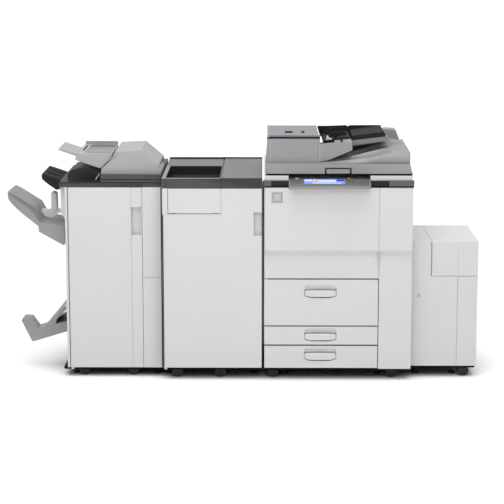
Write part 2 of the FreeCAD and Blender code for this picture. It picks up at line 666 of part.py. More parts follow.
def feeder_housing():
    """The feeder's shell, the ears for its cover's pins and the block at the mouth."""
    shell = profile("feeder_shell", "XZ", [
        ("adf_left + 4", "adf_top"), ("feeder_right", "adf_top"), ("feeder_right - 9", "feeder_top"),
        ("adf_left + 10", "feeder_top"),
    ], ("feeder_front", "feeder_back"))
    inside = block("feeder_inside", ("adf_left + 22", "feeder_right - 26"),
                   ("feeder_front + 14", "feeder_back - 14"), ("adf_top + 8", "feeder_top + 1"))
    mouth = block("feeder_mouth", ("feeder_right - 30", "feeder_right + 1"),
                  ("tray_front_y", "tray_back_y"),
                  ("feeder_top - 20", "feeder_top + 1"))
    exit_slot = block("feeder_exit", ("feeder_right - 30", "feeder_right + 1"),
                      ("tray_front_y", "tray_back_y"),
                      ("adf_top + 22", "adf_top + 34"))
    block_front = profile("mouth_block", "XZ", [
        ("feeder_right - 6", "adf_top + 7"), (402, "adf_top + 12"), (518, 1085), (516, 1125),
        ("feeder_right - 6", 1111),
    ], ("feeder_front", "tray_front_y - 2"))
    pin_x = "adf_left + 12"
    ears = []
    for side, ear, pin in (("front", ("feeder_front", "feeder_front + 9"),
                            ("feeder_front", "feeder_front + 24")),
                           ("back", ("feeder_back - 9", "feeder_back"),
                            ("feeder_back - 24", "feeder_back"))):
        ears.append(block(f"ear_{side}", (f"{pin_x} - 4", f"{pin_x} + 6"), ear,
                          ("feeder_top - 1", "cover_z + cover_half")))
        ears.append(rod(f"ear_pin_{side}", "y", (pin_x, "cover_z"), "cover_pin", pin))
    hollow = cut("feeder_hollow", shell, [inside, mouth, exit_slot])
    sockets = [rod(f"tray_pin_{index}", "y", ("tray_pivot_x", "tray_pivot_z"), "pin_radius", span)
               for index, span in enumerate((("tray_front_y - 3", "tray_front_y + 12"),
                                             ("tray_back_y - 12", "tray_back_y + 8")))]
    rear_ear = block("tray_ear", ("feeder_right - 12", "tray_pivot_x + 8"),
                     ("tray_back_y + 2", "tray_back_y + 14"),
                     ("tray_pivot_z - 8", "tray_pivot_z + 8"))
    sub_part("adf_housing", join("adf_housing", [hollow, block_front, rear_ear] + ears + sockets))


def feed_cover():
    pin_x = "adf_left + 12"
    plate = profile("cover_plate", "XZ", [
        (pin_x, "cover_z + cover_half", "cover_half"), (pin_x, "cover_z - cover_half"),
        ("feeder_right - 9", "cover_z - cover_half"), ("feeder_right - 9", "cover_z + cover_half"),
    ], ("feeder_front + 9.5", "feeder_back - 9.5"))
    bore = rod("cover_bore", "y", (pin_x, "cover_z"), "cover_pin + fit", ("feeder_front", "feeder_back"))
    sub_part("adf_feed_cover", cut("adf_feed_cover", plate, [bore]))


def document_tray():
    """The raised original tray. It hinges at its low end, beside the feeder's mouth."""
    round_end = 7
    plate = profile("doc_plate", "XZ", [
        ("tray_pivot_x", f"tray_pivot_z + {round_end}", round_end),
        ("tray_pivot_x", f"tray_pivot_z - {round_end}"),
        (524, 1110), (527, 1089), (706, 1118), (700, 1150), (688, 1157), (518, 1135),
    ], ("tray_front_y", "tray_back_y"))
    bore = rod("doc_bore", "y", ("tray_pivot_x", "tray_pivot_z"), "pin_radius + fit",
               ("tray_front_y - 1", "tray_back_y + 1"))
    slots = [block(f"guide_slot_{side}", (444, 456), span, (1100, 1140))
             for side, span in (("front", ("tray_front_y + 20", -70)), ("rear", (-43, "tray_back_y - 20")))]
    sub_part("adf_document_tray", cut("adf_document_tray", plate, [bore] + slots))
    for side, centre in (("front", -150), ("rear", 37)):
        fence = profile(f"{side}_fence", "XZ", [
            (404, 1120), (500, 1136), (490, 1153), (440, 1153, 60), (404, 1130),
        ], (f"{centre} - 3", f"{centre} + 3"))
        stem = block(f"{side}_stem", (445, 455), (f"{centre} - 3", f"{centre} + 3"), (1108, 1136))
        sub_part(f"document_guide_{side}", join(f"document_guide_{side}", [fence, stem]))


def output_tray():
    low, right = "adf_top", "adf_right - 10"
    dish = profile("dish", "XZ", [
        ("feeder_right + 1", low), (right, low), (right, 1080), (700, 1074), (560, 1046), (410, 1031),
        ("feeder_right + 1", 1031),
    ], ("adf_front + 4", "tray_back_y + 20"))
    rear = profile("dish_rear", "XZ", [
        ("feeder_right + 12", low), (right, low), ("adf_right - 17", 1131), (722, 1133), (560, 1080),
        ("feeder_right + 12", 1050),
    ], ("tray_back_y + 20", "adf_back"))
    sub_part("adf_output_tray", join("adf_output_tray", [dish, rear]))


def feeder_pins():
    """Two steel pins that carry the feeder, from the posts into its arms."""
    return [rod(f"adf_pin_{index}", "x", ("adf_hinge_y", "adf_hinge_z"), "adf_pin", span)
            for index, span in enumerate(((202, 268), (612, 678)))]


# ---- folding unit -----------------------------------------------------------------------------

def cabinet_walls(name, left, right, bay, back, low, high):
    """Side and rear walls and a floor plate, open to the front."""
    deep = (bay, back)
    return [
        block(f"{name}_left", (left, f"{left} + wall"), deep, (low, high)),
        block(f"{name}_right", (f"{right} - wall", right), deep, (low, high)),
        block(f"{name}_rear", (left, right), (f"{back} - wall", back), (low, high)),
        block(f"{name}_floor", (left, right), deep, ("frame_bottom", "base_top")),
    ]


def inner_plate(name, left, right, bay, top, window):
    """The plate behind the door, with the window that jammed sheets are reached through."""
    return window_frame(f"{name}_inner", (left, right), (f"{bay} + 50", f"{bay} + 54"), ("base_top", top),
                        *window)


FLAP_LUGS = (-320, -125)


def folding_unit():
    walls = cabinet_walls("fold", "fold_left", "fold_right", "fold_bay", "fold_back", "fold_bottom",
                          "fold_top")
    shelf = block("fold_shelf", ("fold_left", "fold_right"), ("fold_bay", "fold_back"), (784, 790))
    plate = inner_plate("fold", "fold_left + wall", "fold_right - wall", "fold_bay", 784,
                        (("fold_left + 60", "fold_right - 60"), (180, 700)))
    post = block("fold_post", ("fold_door_left", "flap_left - 2"),
                 ("fold_front", "bin_inset - 1 + fold_front"),
                 ("flap_bottom", "fold_top"))
    flange = block("fold_post_flange", ("fold_door_left", "bin_left - 5"),
                   ("fold_front + bin_inset - 1", "fold_bay + 4"), ("flap_bottom", "fold_top"))
    lug = lower_lug("fold_door", "fold_door_left", "fold_front", "fold_bottom", 8)
    riser = block("fold_lug_riser", ("fold_door_left", "fold_door_left + 16"),
                  ("fold_bay", "fold_bay + 30"),
                  ("fold_bottom - 1", "frame_bottom + 1"))
    holes = [
        upper_socket("fold_door", "fold_door_left", "fold_front", "flap_bottom - 1"),
        path_slot("fold_entry", ("fold_right - wall - 1", "fold_right + 1"), "path_high"),
        path_slot("fold_exit", ("fold_left - 1", "fold_left + wall + 1"), "path_high"),
    ]
    body = join("fold_body", walls + plate + [shelf, post, flange, lug, riser])
    sub_part("fold_cabinet", cut("fold_cabinet", body, holes))

    bin_front, bin_back = "fold_front + bin_inset", "fold_front + bin_inset + bin_length"
    frame = block("fold_frame", ("fold_left", "fold_right"), ("fold_front", "fold_back"),
                  ("fold_top", "fold_frame_top"))
    tub = block("fold_tub", ("bin_left - skin", "bin_right + skin"), (bin_front, f"{bin_back} + skin"),
                ("bin_floor - 6", "fold_top + 1"))
    lid = block("fold_lid", ("bin_right + 9", "fold_right"), ("fold_front", "fold_back"),
                ("fold_frame_top", "fold_frame_top + 2"))
    fence = block("fold_fence", ("fold_left + 28", "fold_right"), ("fold_back - 5", "fold_back"),
                  ("fold_frame_top", "fold_frame_top + 8"))
    space = block("bin_space", ("bin_left", "bin_right"), (f"{bin_front} + skin", bin_back),
                  ("bin_floor", "fold_frame_top + 1"))
    under = block("frame_under", ("bin_right + 20", "fold_right - 10"), ("fold_bay + 10", "fold_back - 10"),
                  ("fold_top - 1", "fold_frame_top - 6"))
    window = block("bin_window", ("flap_left + 10", "bin_right - 6"),
                   (f"{bin_front} - 1", f"{bin_front} + 5"),
                   ("bin_floor + 8", "fold_top - 8"))
    tub_frame = cut("tub_frame", join("tub_blank", [frame, tub, lid, fence]), [space, under, window])
    lugs = [cut(f"flap_lug_{index}", block(f"flap_lug_blank_{index}", (left, f"{left} + 18"),
                                           ("fold_front + 3", f"{bin_front} + 1"),
                                           ("bin_floor - 5", "bin_floor + 4")),
                [rod(f"flap_lug_bore_{index}", "x", ("fold_front + 8", "flap_bottom + 8"), "pin_radius",
                     (f"{left} - 1", f"{left} + 19"))])
            for index, left in enumerate(FLAP_LUGS)]
    sub_part("fold_top_bin", join("fold_top_bin", [tub_frame] + lugs))


def folding_unit_doors():
    left, right = "fold_door_left", "fold_right - 2"
    back = "fold_front + door_thick"
    lower = profile("fold_door_lower", "XY", pivot_outline(left, right, "fold_front"),
                    ("fold_bottom", "flap_bottom - 1"))
    upper = block("fold_door_upper", ("flap_right + 3", right), ("fold_front", back),
                  ("flap_bottom - 1", "fold_top - 1"))
    hollow = block("fold_door_hollow", (f"{left} + 2 * door_rim", f"{right} - 3 * door_rim"),
                   (f"{back} - door_hollow", f"{back} + 1"),
                   ("fold_bottom + door_rim", "flap_bottom - door_rim"))
    grip = block("fold_door_grip", (60, f"{right} + 1"), ("fold_front - 1", "fold_front + 22"), (690, 800))
    blank = join("fold_door_blank", [lower, upper])
    sub_part("fold_door", cut("fold_door", blank, pivot_bores(*PIVOTS[1]) + [hollow, grip]))

    half = "flap_thick / 2"
    panel = profile("flap_panel", "YZ", [
        ("fold_front", f"flap_bottom + {half}", half),
        (f"fold_front + flap_thick", f"flap_bottom + {half}"),
        ("fold_front + flap_thick", "fold_top - 1"), ("fold_front", "fold_top - 1"),
    ], ("flap_left", "flap_right"))
    notches = [block(f"flap_notch_{index}", (f"{x} - 0.5", f"{x} + 18.5"),
                     ("fold_front + 2", "fold_front + 20"),
                     ("flap_bottom - 1", "flap_bottom + 24")) for index, x in enumerate(FLAP_LUGS)]
    bore = rod("flap_bore", "x", (f"fold_front + {half}", f"flap_bottom + {half}"), "pin_radius + fit",
               (FLAP_LUGS[0] - 12, FLAP_LUGS[1] + 30))
    sub_part("fold_flap", cut("fold_flap", panel, notches + [bore]))


def flap_pins():
    return [rod(f"flap_pin_{index}", "x", ("fold_front + 8", "flap_bottom + 8"), "pin_radius",
                (x - 10, x + 28))
            for index, x in enumerate(FLAP_LUGS)]


# ---- finisher ---------------------------------------------------------------------------------

def finisher():
    walls = cabinet_walls("fin", "fin_left", "fin_right", "fin_bay", "fin_back", "fin_bottom", "fin_top")
    side = profile("fin_bulge", "XZ", [
        ("fin_left + wall", "bulge_low - 20"), ("fin_left + wall", "fin_top"),
        ("fin_left - bulge", "fin_top"),
        ("fin_left - bulge", "bulge_high", "-90"), ("fin_left", "bulge_low - 20"),
    ], ("fin_front + 40", "fin_back"))
    strip = block("fin_strip", ("fin_left", "fin_door_left - 2"), ("fin_front", "fin_bay + 1"),
                  ("fin_bottom", "fin_top"))
    panel = block("fin_fixed_panel", ("fin_door_right + 2", "fin_right"), ("fin_front", "fin_bay"),
                  ("fin_bottom", "fin_top"))
    side_plate = block("fin_side_plate", ("fin_door_right + 2", "fin_door_right + 8"),
                       ("fin_bay", "fin_bay + 54"),
                       ("frame_bottom", "fin_top"))
    roof = block("fin_roof", ("fin_left", "fin_right"), ("fin_bay", "fin_back"),
                 ("fin_top - wall", "fin_top"))
    plate = inner_plate("fin", "fin_left + wall", "fin_right - wall", "fin_bay", "fin_top - wall",
                        (("fin_door_left + 60", "fin_door_right - 60"), (160, 760)))
    lug = lower_lug("finisher_door", "fin_door_left", "fin_front", "fin_bottom", 8)
    riser = block("fin_lug_riser", ("fin_door_left", "fin_door_left + 16"), ("fin_bay + 3", "fin_bay + 30"),
                  ("fin_bottom - 1", "frame_bottom + 1"))
    rails = [block(f"lift_rail_{index}", ("fin_left - wall", "fin_left"), (low, low + 20), (330, 700))
             for index, low in enumerate((-211, -11))]
    lugs = [block(f"booklet_lug_{index}", ("booklet_pivot_x - 8", "fin_left + 1"), span,
                  ("booklet_pivot_z - 8", "booklet_pivot_z + 8"))
            for index, span in enumerate((("booklet_front - 14", "booklet_front - 1"),
                                          ("booklet_back + 1", "booklet_back + 14")))]
    pins = [rod(f"booklet_pin_{index}", "y", ("booklet_pivot_x", "booklet_pivot_z"), "pin_radius", span)
            for index, span in enumerate((("booklet_front - 14", "booklet_front + 20"),
                                          ("booklet_back - 20", "booklet_back + 14")))]
    holes = [
        block("panel_seam", ("fin_door_right + 1", "fin_right + 1"), ("fin_front - 1", "fin_front + 3"),
              (480, 482)),
        path_slot("fin_entry", ("fin_right - wall - 1", "fin_right + 1"), "path_high"),
        path_slot("fin_stack_exit", ("fin_left - bulge - 1", "fin_left + wall + 1"), "stack_exit"),
        path_slot("fin_booklet_exit", ("fin_left - 1", "fin_left + wall + 1"), "booklet_exit"),
    ]
    brackets = [join(f"booklet_bracket_{index}", list(pair)) for index, pair in enumerate(zip(lugs, pins))]
    bracket = join("fin_lug_bracket", [lug, riser])
    plates = walls + [roof, strip, panel, side_plate, side, bracket] + plate + rails + brackets
    sub_part("finisher_cabinet", assembled("finisher_cabinet", plates, holes))


def finisher_top():
    lower = block("deck_lower", ("fin_left - bulge", "fin_right - 3"), ("fin_front", "fin_back"),
                  ("fin_top", "step_z"))
    upper = block("deck_upper", (-655, "fin_right - 3"), ("fin_front", "fin_back"), ("step_z", "hump_top"))
    hump = profile("deck_hump", "XZ", [
        (-817, "step_z - 1"), (-656, "step_z - 1"), (-664, 983), (-715, 1004), (-785, 999), (-817, 977),
    ], ("shift_front + 20", "shift_back"))
    exit_mouth = block("proof_exit", (-820, -700), ("shift_front + 35", "shift_back - 15"), (938, 962))
    socket = upper_socket("finisher_door", "fin_door_left", "fin_front", "fin_top - 1")
    sub_part("finisher_top_deck", cut("finisher_top_deck", join("deck_blank", [lower, upper, hump]),
                                      [exit_mouth, socket]))
    sub_part("proof_tray", profile("proof_tray", "XZ", [
        ("fin_left - bulge", 912), ("fin_left - bulge", 932), (-935, 963), (-942, 950), (-937, 935),
        (-870, 886), (-852, 890),
    ], ("shift_front", "shift_back")))


def finisher_door():
    back = "fin_front + door_thick"
    blank = profile("fin_door_blank", "XY", pivot_outline("fin_door_left", "fin_door_right", "fin_front"),
                    ("fin_bottom", "fin_top - 1"))
    hollow = block("fin_door_hollow", ("fin_door_left + 2 * door_rim", "fin_door_right - 4 * door_rim"),
                   (f"{back} - door_hollow", f"{back} + 1"),
                   ("fin_bottom + door_rim", "fin_top - 1 - door_rim"))
    grip = block("fin_door_grip", (-512, -467), ("fin_front - 1", "fin_front + 22"), (683, 815))
    sub_part("finisher_door", cut("finisher_door", blank, pivot_bores(*PIVOTS[2]) + [hollow, grip]))


def finisher_trays():
    sub_part("shift_tray", profile("shift_tray", "XZ", [
        ("-total_width / 2", 846), ("-total_width / 2 + 8", 832), (-959, 713), (-956, 686), (-843, 622),
        (-834, 625), (-834, 712), (-895, 722), (-945, 730), (-975, 790), (-1100, 870),
        ("-total_width / 2", 862),
    ], ("shift_front", "shift_back")))

    column = rod("jogger_post", "z", (-893, -131), 17, (775, 856))
    ends = [rod(f"jogger_end_{index}", "z", (-893, -131), 12, span)
            for index, span in enumerate(((767, 775), (856, 864)))]
    paddle = profile("jogger_paddle", "XZ", [
        (-957, 772), (-938, 744), (-902, 738), (-877, 759), (-862, 762), (-862, 777),
    ], (-145, -117))
    arm = block("jogger_arm", (-880, "fin_left - bulge - 0.5"), (-140, -122), (838, 856))
    sub_part("jogger_fence", join("jogger_fence", [column] + ends + [paddle, arm]))

    span = ("booklet_front", "booklet_back")
    floor = profile("booklet_floor", "XZ", [
        (-834, 215), (-834, 238), (-978, 204), (-1011, 253), (-1048, 256), (-1060, 241), (-1011, 140),
        (-1002, 137), (-834, 189),
    ], span)
    wing = profile("booklet_wing", "XZ", [
        (-945, 212), (-838, "booklet_pivot_z + 8", "-8"), ("booklet_pivot_x + 8", "booklet_pivot_z"),
        (-830, 305), (-836, 300), (-890, 245), (-897, 217),
    ], span)
    bore = rod("booklet_bore", "y", ("booklet_pivot_x", "booklet_pivot_z"), "pin_radius + fit",
               ("booklet_front - 1", "booklet_back + 1"))
    sub_part("booklet_tray", cut("booklet_tray", join("booklet_blank", [floor, wing]), [bore]))


# ---- sheet inserter ---------------------------------------------------------------------------

EXTENSION_SLOPE = 19
EXTENSION_FOOT = (-725, 1026)


def along(start, reach, lift):
    """A point at a distance along the extension's slope and above it."""
    slope = math.radians(EXTENSION_SLOPE)
    x = start[0] - reach * math.cos(slope) + lift * math.sin(slope)
    z = start[1] + reach * math.sin(slope) + lift * math.cos(slope)
    return round(x, 3), round(z, 3)


EXTENSION = [along(EXTENSION_FOOT, *corner) for corner in ((0, 0), (0, 12), (142, 12), (142, 0))]
EXTENSION_SLOT = [along(EXTENSION_FOOT, *corner)
                  for corner in ((-45, -0.5), (-45, 12.5), (160, 12.5), (160, -0.5))]


def inserter():
    inner = [(-654, "hump_top"), (-378, "hump_top"), (-386, 976), (-404, 986), (-476, 1050), (-596, 1047),
             (-651, 992)]
    outer = [(-654, "hump_top"), (-376, "hump_top"), (-383, 1006), (-467, 1078), (-585, 1073), (-588, 1058),
             (-651, 992)]
    core = profile("inserter_core", "XZ", inner, ("inserter_front + cheek", "inserter_back - cheek"))
    cheeks = [profile("cheek_front", "XZ", outer, ("inserter_front", "inserter_front + cheek")),
              profile("cheek_back", "XZ", outer, ("inserter_back - cheek", "inserter_back"))]
    centre = ("hood_pin_x", "hood_pin_z")
    pins = [rod("hood_pin_front", "y", centre, "pin_radius",
                ("inserter_front", "inserter_front + 2 * cheek + 6")),
            rod("hood_pin_back", "y", centre, "pin_radius",
                ("inserter_back - 2 * cheek - 6", "inserter_back"))]
    sub_part("inserter_housing", join("inserter_housing", [core] + cheeks + pins))

    hood = profile("hood", "XZ", [
        (-598, 1052), (-476, 1055), ("hood_pin_x - 5.3", "hood_pin_z - 6", 8),
        ("hood_pin_x + 5.3", "hood_pin_z + 6"), (-467, 1077), (-588, 1072),
    ], ("inserter_front + cheek + 0.5", "inserter_back - cheek - 0.5"))
    bore = rod("hood_bore", "y", centre, "pin_radius + fit", ("inserter_front", "inserter_back"))
    sub_part("inserter_cover", cut("inserter_cover", hood, [bore]))

    slab = profile("inserter_slab", "XZ", [
        (-777, 1031), (-664, 992.5), (-654, 992.5), (-603, 1043), (-603, 1062), (-768, 1062),
    ], ("inserter_front + 20", 80))
    fence = block("inserter_fence", (-762, -603), (74, 80), (1055, 1080))
    channel = profile("extension_channel", "XZ", EXTENSION_SLOT, (-232, 19))
    sub_part("inserter_tray", cut("inserter_tray", join("inserter_tray_blank", [slab, fence]), [channel]))
    sub_part("inserter_extension", profile("inserter_extension", "XZ", EXTENSION, (-231, 18)))


# ---- large-capacity tray ----------------------------------------------------------------------

def large_capacity_tray():
    split_left = "lct_split - skin"
    deep = ("lct_front", "lct_back")
    inner_front = "lct_front + lid_thick + 2"
    rim = "lid_pin_z - lid_round - 1"
    walls = [
        block("lct_left_wall", ("lct_left", "lct_left + skin"), deep, ("lct_bottom", "lct_top")),
        block("lct_left_front", ("lct_left", "lct_split"), ("lct_front", "lct_front + skin"),
              ("lct_bottom", "lct_top")),
        block("lct_left_roof", ("lct_left", "lct_split"), deep, ("lct_top - skin", "lct_top")),
        block("lct_split_wall", (split_left, "lct_split"), deep, ("lct_bottom", "lct_top")),
        block("lct_rear", ("lct_left", "lct_right"), ("lct_back - skin", "lct_back"),
              ("lct_bottom", "lid_low - 2")),
        block("lct_rear_high", (split_left, "lct_right - skin"), ("lct_back - skin", "lct_back"),
              ("lid_low - 3", rim)),
        block("lct_rear_left", ("lct_left", "lct_split"), ("lct_back - skin", "lct_back"),
              ("lct_bottom", "lct_top")),
        block("lct_right_wall", ("lct_right - skin", "lct_right"), deep, ("lct_bottom", "lid_low - 2")),
        block("lct_right_upper", ("lct_right - 2 * skin", "lct_right - skin"), (inner_front, "lct_back"),
              ("lid_low - 3", rim)),
        block("lct_front_low", ("lct_split", "lct_right"), ("lct_front", inner_front),
              ("lct_bottom", "lid_low - 2")),
        block("lct_front_high", ("lct_split", "lct_right - skin"), (inner_front, f"{inner_front} + skin"),
              ("lct_bottom", rim)),
        block("lct_right_ledge", ("lct_right - 2 * skin", "lct_right"), deep,
              ("lid_low - 6", "lid_low - 2")),
        block("lct_floor", ("lct_left", "lct_right"), deep, ("frame_bottom", "base_top")),
    ]
    cuts = [
        block("lct_front_seam", (1020, 1022), ("lct_front - 1", "lct_front + 3"),
              ("lct_bottom - 1", "lid_low")),
        path_slot("lct_feed_outer", ("lct_left - 1", "lct_left + skin + 1"), "path_low"),
        path_slot("lct_feed_inner", (f"{split_left} - 1", "lct_split + 1"), "path_low"),
    ]
    ears = [cut(f"lid_ear_{side}", block(f"lid_ear_blank_{side}", ("lct_split - 1", "lid_pin_x + 3.5"),
                                         span,
                                         ("lid_pin_z - 12", "lid_pin_z + lid_round")), [bore])
            for side, span, bore in (
                ("back", ("lct_back - 10", "lct_back"),
                 rod("lid_ear_bore_back", "y", ("lid_pin_x", "lid_pin_z"), "cover_pin",
                     ("lct_back - 11", "lct_back + 1"))),
                ("front", ("lct_front + 26", "lct_front + 36"),
                 rod("lid_ear_bore_front", "y", ("lid_pin_x", "lid_pin_z"), "cover_pin",
                     ("lct_front + 25", "lct_front + 37"))))]
    sub_part("lct_cabinet", join("lct_cabinet", [cut("lct_shell", join("lct_blank", walls), cuts)] + ears))

    top = profile("lid_top", "XZ", [
        ("lid_pin_x", "lid_pin_z + lid_round", "lid_round"), ("lid_pin_x", "lid_pin_z - lid_round"),
        ("lct_right", "lid_pin_z - lid_round"), ("lct_right", "lid_pin_z + lid_round"),
    ], ("lct_front", "lct_back"))
    face = block("lid_face", ("lid_pin_x", "lct_right"), ("lct_front", "lct_front + lid_thick"),
                 ("lid_low", "lid_pin_z"))
    side = block("lid_side", ("lct_right - skin + 0.5", "lct_right"), ("lct_front", "lct_back"),
                 ("lid_low", "lid_pin_z"))
    notches = [
        block("lid_notch_back", ("lct_split", "lid_pin_x + 6"), ("lct_back - 10.5", "lct_back + 1"),
              ("lid_pin_z - 6", "lid_pin_z + 6")),
        block("lid_notch_front", ("lct_split", "lid_pin_x + 6"), ("lct_front + 25.5", "lct_front + 36.5"),
              ("lid_pin_z - 6", "lid_pin_z + 6")),
    ]
    bore = rod("lid_bore", "y", ("lid_pin_x", "lid_pin_z"), "cover_pin + fit",
               ("lct_front + 10", "lct_back + 1"))
    sub_part("lct_lid", cut("lct_lid", join("lid_blank", [top, face, side]), notches + [bore]))
    sub_part("lct_lift_plate", block("lct_lift_plate", ("lct_split + 8", "lct_right - 2 * skin - 6"),
                                     ("lct_front + 24", "lct_back - skin - 8"), (90, 94)))


def lid_pins():
    centre = ("lid_pin_x", "lid_pin_z")
    spans = (("lct_back - 26", "lct_back"), ("lct_front + 12", "lct_front + 50"))
    return [rod(f"lid_pin_{index}", "y", centre, "cover_pin", span) for index, span in enumerate(spans)]


# ---- the whole machine ------------------------------------------------------------------------

def check(objects):
    for obj in objects:
        if any(word in obj.State for word in ("Invalid", "Error")):
            raise RuntimeError(f"{obj.Name} failed: {obj.State}")
    for obj in sub_parts:
        if obj.Shape.isNull() or not obj.Shape.isValid():
            raise RuntimeError(f"{obj.Label} has no valid shape")


def export():
    os.makedirs("parts", exist_ok=True)
    for obj in sub_parts:
        obj.Shape.exportStep(f"parts/{obj.Label}.step")
    print(f"{len(sub_parts)} sub-parts written")


main_chassis()
main_covers()
front_doors_and_column()
drawers()
print_engine()
front_band()
scanner()
control_panel()
feeder_base()
feeder_housing()
feed_cover()
document_tray()
output_tray()
folding_unit()
folding_unit_doors()
finisher()
finisher_top()
finisher_door()
finisher_trays()
inserter()
large_capacity_tray()
floor_gear()
sub_part("hinge_pins", join("hinge_pins", pivot_pins() + feeder_pins() + flap_pins() + lid_pins()))
doc.recompute()
check(doc.Objects)
export()
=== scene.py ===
"""Looks of the production photocopier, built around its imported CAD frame. Metres, +Z up."""
import json
import math

import bmesh
import bpy
from mathutils import Matrix, Vector


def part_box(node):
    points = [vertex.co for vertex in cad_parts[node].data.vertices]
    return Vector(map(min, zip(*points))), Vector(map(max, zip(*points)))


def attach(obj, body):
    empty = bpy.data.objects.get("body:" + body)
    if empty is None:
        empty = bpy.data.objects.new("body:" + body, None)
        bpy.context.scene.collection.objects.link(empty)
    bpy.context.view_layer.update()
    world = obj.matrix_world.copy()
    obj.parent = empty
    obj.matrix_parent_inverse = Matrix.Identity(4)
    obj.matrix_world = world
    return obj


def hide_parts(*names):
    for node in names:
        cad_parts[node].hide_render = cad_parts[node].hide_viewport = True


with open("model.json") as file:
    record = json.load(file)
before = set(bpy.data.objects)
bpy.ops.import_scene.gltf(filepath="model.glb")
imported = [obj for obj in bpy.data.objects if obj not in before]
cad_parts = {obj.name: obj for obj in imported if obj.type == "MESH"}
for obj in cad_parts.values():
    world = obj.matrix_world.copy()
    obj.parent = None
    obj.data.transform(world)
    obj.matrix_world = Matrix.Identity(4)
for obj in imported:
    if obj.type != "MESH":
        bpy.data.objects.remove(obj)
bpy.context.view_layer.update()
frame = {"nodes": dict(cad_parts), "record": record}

MM = 0.001
NODES = frame["nodes"]
BODY_OF = {node: body for body, members in frame["record"]["behaviour"]["bodies"].items()
           for node in members}
SLOT_OF = {node: item.data.materials[0].name for node, item in NODES.items()}


# ---- materials --------------------------------------------------------------------------------

def tree(name, roughness, metallic=0.0):
    """A new node material: its node tree, its shader and its object coordinates."""
    material = bpy.data.materials.new(name)
    material.use_nodes = True
    nodes = material.node_tree.nodes
    surface = nodes["Principled BSDF"]
    surface.inputs["Roughness"].default_value = roughness
    surface.inputs["Metallic"].default_value = metallic
    place = nodes.new("ShaderNodeTexCoord").outputs["Object"]
    return material, surface, place


def noise(material, place, scale, detail=2.0, stretch=(1, 1, 1)):
    nodes, links = material.node_tree.nodes, material.node_tree.links
    if stretch != (1, 1, 1):
        mapping = nodes.new("ShaderNodeMapping")
        mapping.inputs["Scale"].default_value = stretch
        links.new(place, mapping.inputs["Vector"])
        place = mapping.outputs["Vector"]
    texture = nodes.new("ShaderNodeTexNoise")
    texture.inputs["Scale"].default_value = scale
    texture.inputs["Detail"].default_value = detail
    links.new(place, texture.inputs["Vector"])
    return texture.outputs["Fac"]


def ramp(material, factor, low, high, start=0.3, end=0.7):
    """Colour that runs from low to high as the factor goes from start to end."""
    node = material.node_tree.nodes.new("ShaderNodeValToRGB")
    first, last = node.color_ramp.elements
    first.position, last.position = start, end
    first.color, last.color = (*low, 1), (*high, 1)
    material.node_tree.links.new(factor, node.inputs["Fac"])
    return node.outputs["Color"]


def spread(owner, value, low, high, start=0.0, end=1.0):
    """A value's run from start to end carried over to low to high, in a material or the world."""
    node = owner.node_tree.nodes.new("ShaderNodeMapRange")
    for name, level in (("From Min", start), ("From Max", end), ("To Min", low), ("To Max", high)):
        node.inputs[name].default_value = level
    owner.node_tree.links.new(value, node.inputs["Value"])
    return node.outputs["Result"]


def bump(material, surface, height, depth, strength):
    node = material.node_tree.nodes.new("ShaderNodeBump")
    node.inputs["Distance"].default_value = depth
    node.inputs["Strength"].default_value = strength
    material.node_tree.links.new(height, node.inputs["Height"])
    material.node_tree.links.new(node.outputs["Normal"], surface.inputs["Normal"])


def shade(colour, share):
    return tuple(channel * share for channel in colour)


def moulded(name, colour, roughness=0.42, grain=0.25, cells=1400, mottle=0.05, worn=0.0, specular=0.5):
    """Moulded plastic: spark-eroded grain, faint mottling and edges rubbed a little paler."""
    material, surface, place = tree(name, roughness)
    surface.inputs["Specular IOR Level"].default_value = specular
    links, nodes = material.node_tree.links, material.node_tree.nodes
    clouds = noise(material, place, 5.0, 3.0)
    body = ramp(material, clouds, shade(colour, 1 - mottle), shade(colour, 1 + mottle / 2))
    if worn:
        edges = nodes.new("ShaderNodeNewGeometry").outputs["Pointiness"]
        rub = ramp(material, edges, (0, 0, 0), (worn, worn, worn), 0.52, 0.6)
        mix = nodes.new("ShaderNodeMix")
        mix.data_type = "RGBA"
        mix.inputs["B"].default_value = (0.45, 0.45, 0.46, 1)
        links.new(rub, mix.inputs["Factor"])
        links.new(body, mix.inputs["A"])
        body = mix.outputs["Result"]
    links.new(body, surface.inputs["Base Color"])
    pits = nodes.new("ShaderNodeTexVoronoi")
    pits.inputs["Scale"].default_value = cells
    links.new(place, pits.inputs["Vector"])
    links.new(spread(material, noise(material, place, 60.0), roughness - 0.05, roughness + 0.07),
              surface.inputs["Roughness"])
    bump(material, surface, pits.outputs["Distance"], 0.00012, grain)
    return material


def painted(name, colour, roughness=0.38):
    """Painted or coated panel: fine orange peel, and painted shade that makes it a little darker low down."""
    material, surface, place = tree(name, roughness)
    links, nodes = material.node_tree.links, material.node_tree.nodes
    body = ramp(material, noise(material, place, 3.0, 4.0), shade(colour, 0.975), colour)
    split = nodes.new("ShaderNodeSeparateXYZ")
    links.new(place, split.inputs["Vector"])
    # Painted shade: the colour is a little darker towards the bottom.
    shade_factor = spread(material, split.outputs["Z"], 0.93, 1.0, 0.04, 0.85)
    shaded_colour = nodes.new("ShaderNodeVectorMath")
    shaded_colour.operation = "SCALE"
    links.new(body, shaded_colour.inputs["Vector"])
    links.new(shade_factor, shaded_colour.inputs["Scale"])
    links.new(shaded_colour.outputs["Vector"], surface.inputs["Base Color"])
    links.new(spread(material, noise(material, place, 40.0), roughness - 0.04, roughness + 0.06),
              surface.inputs["Roughness"])
    bump(material, surface, noise(material, place, 700.0, 2.0), 0.00008, 0.18)
    return material


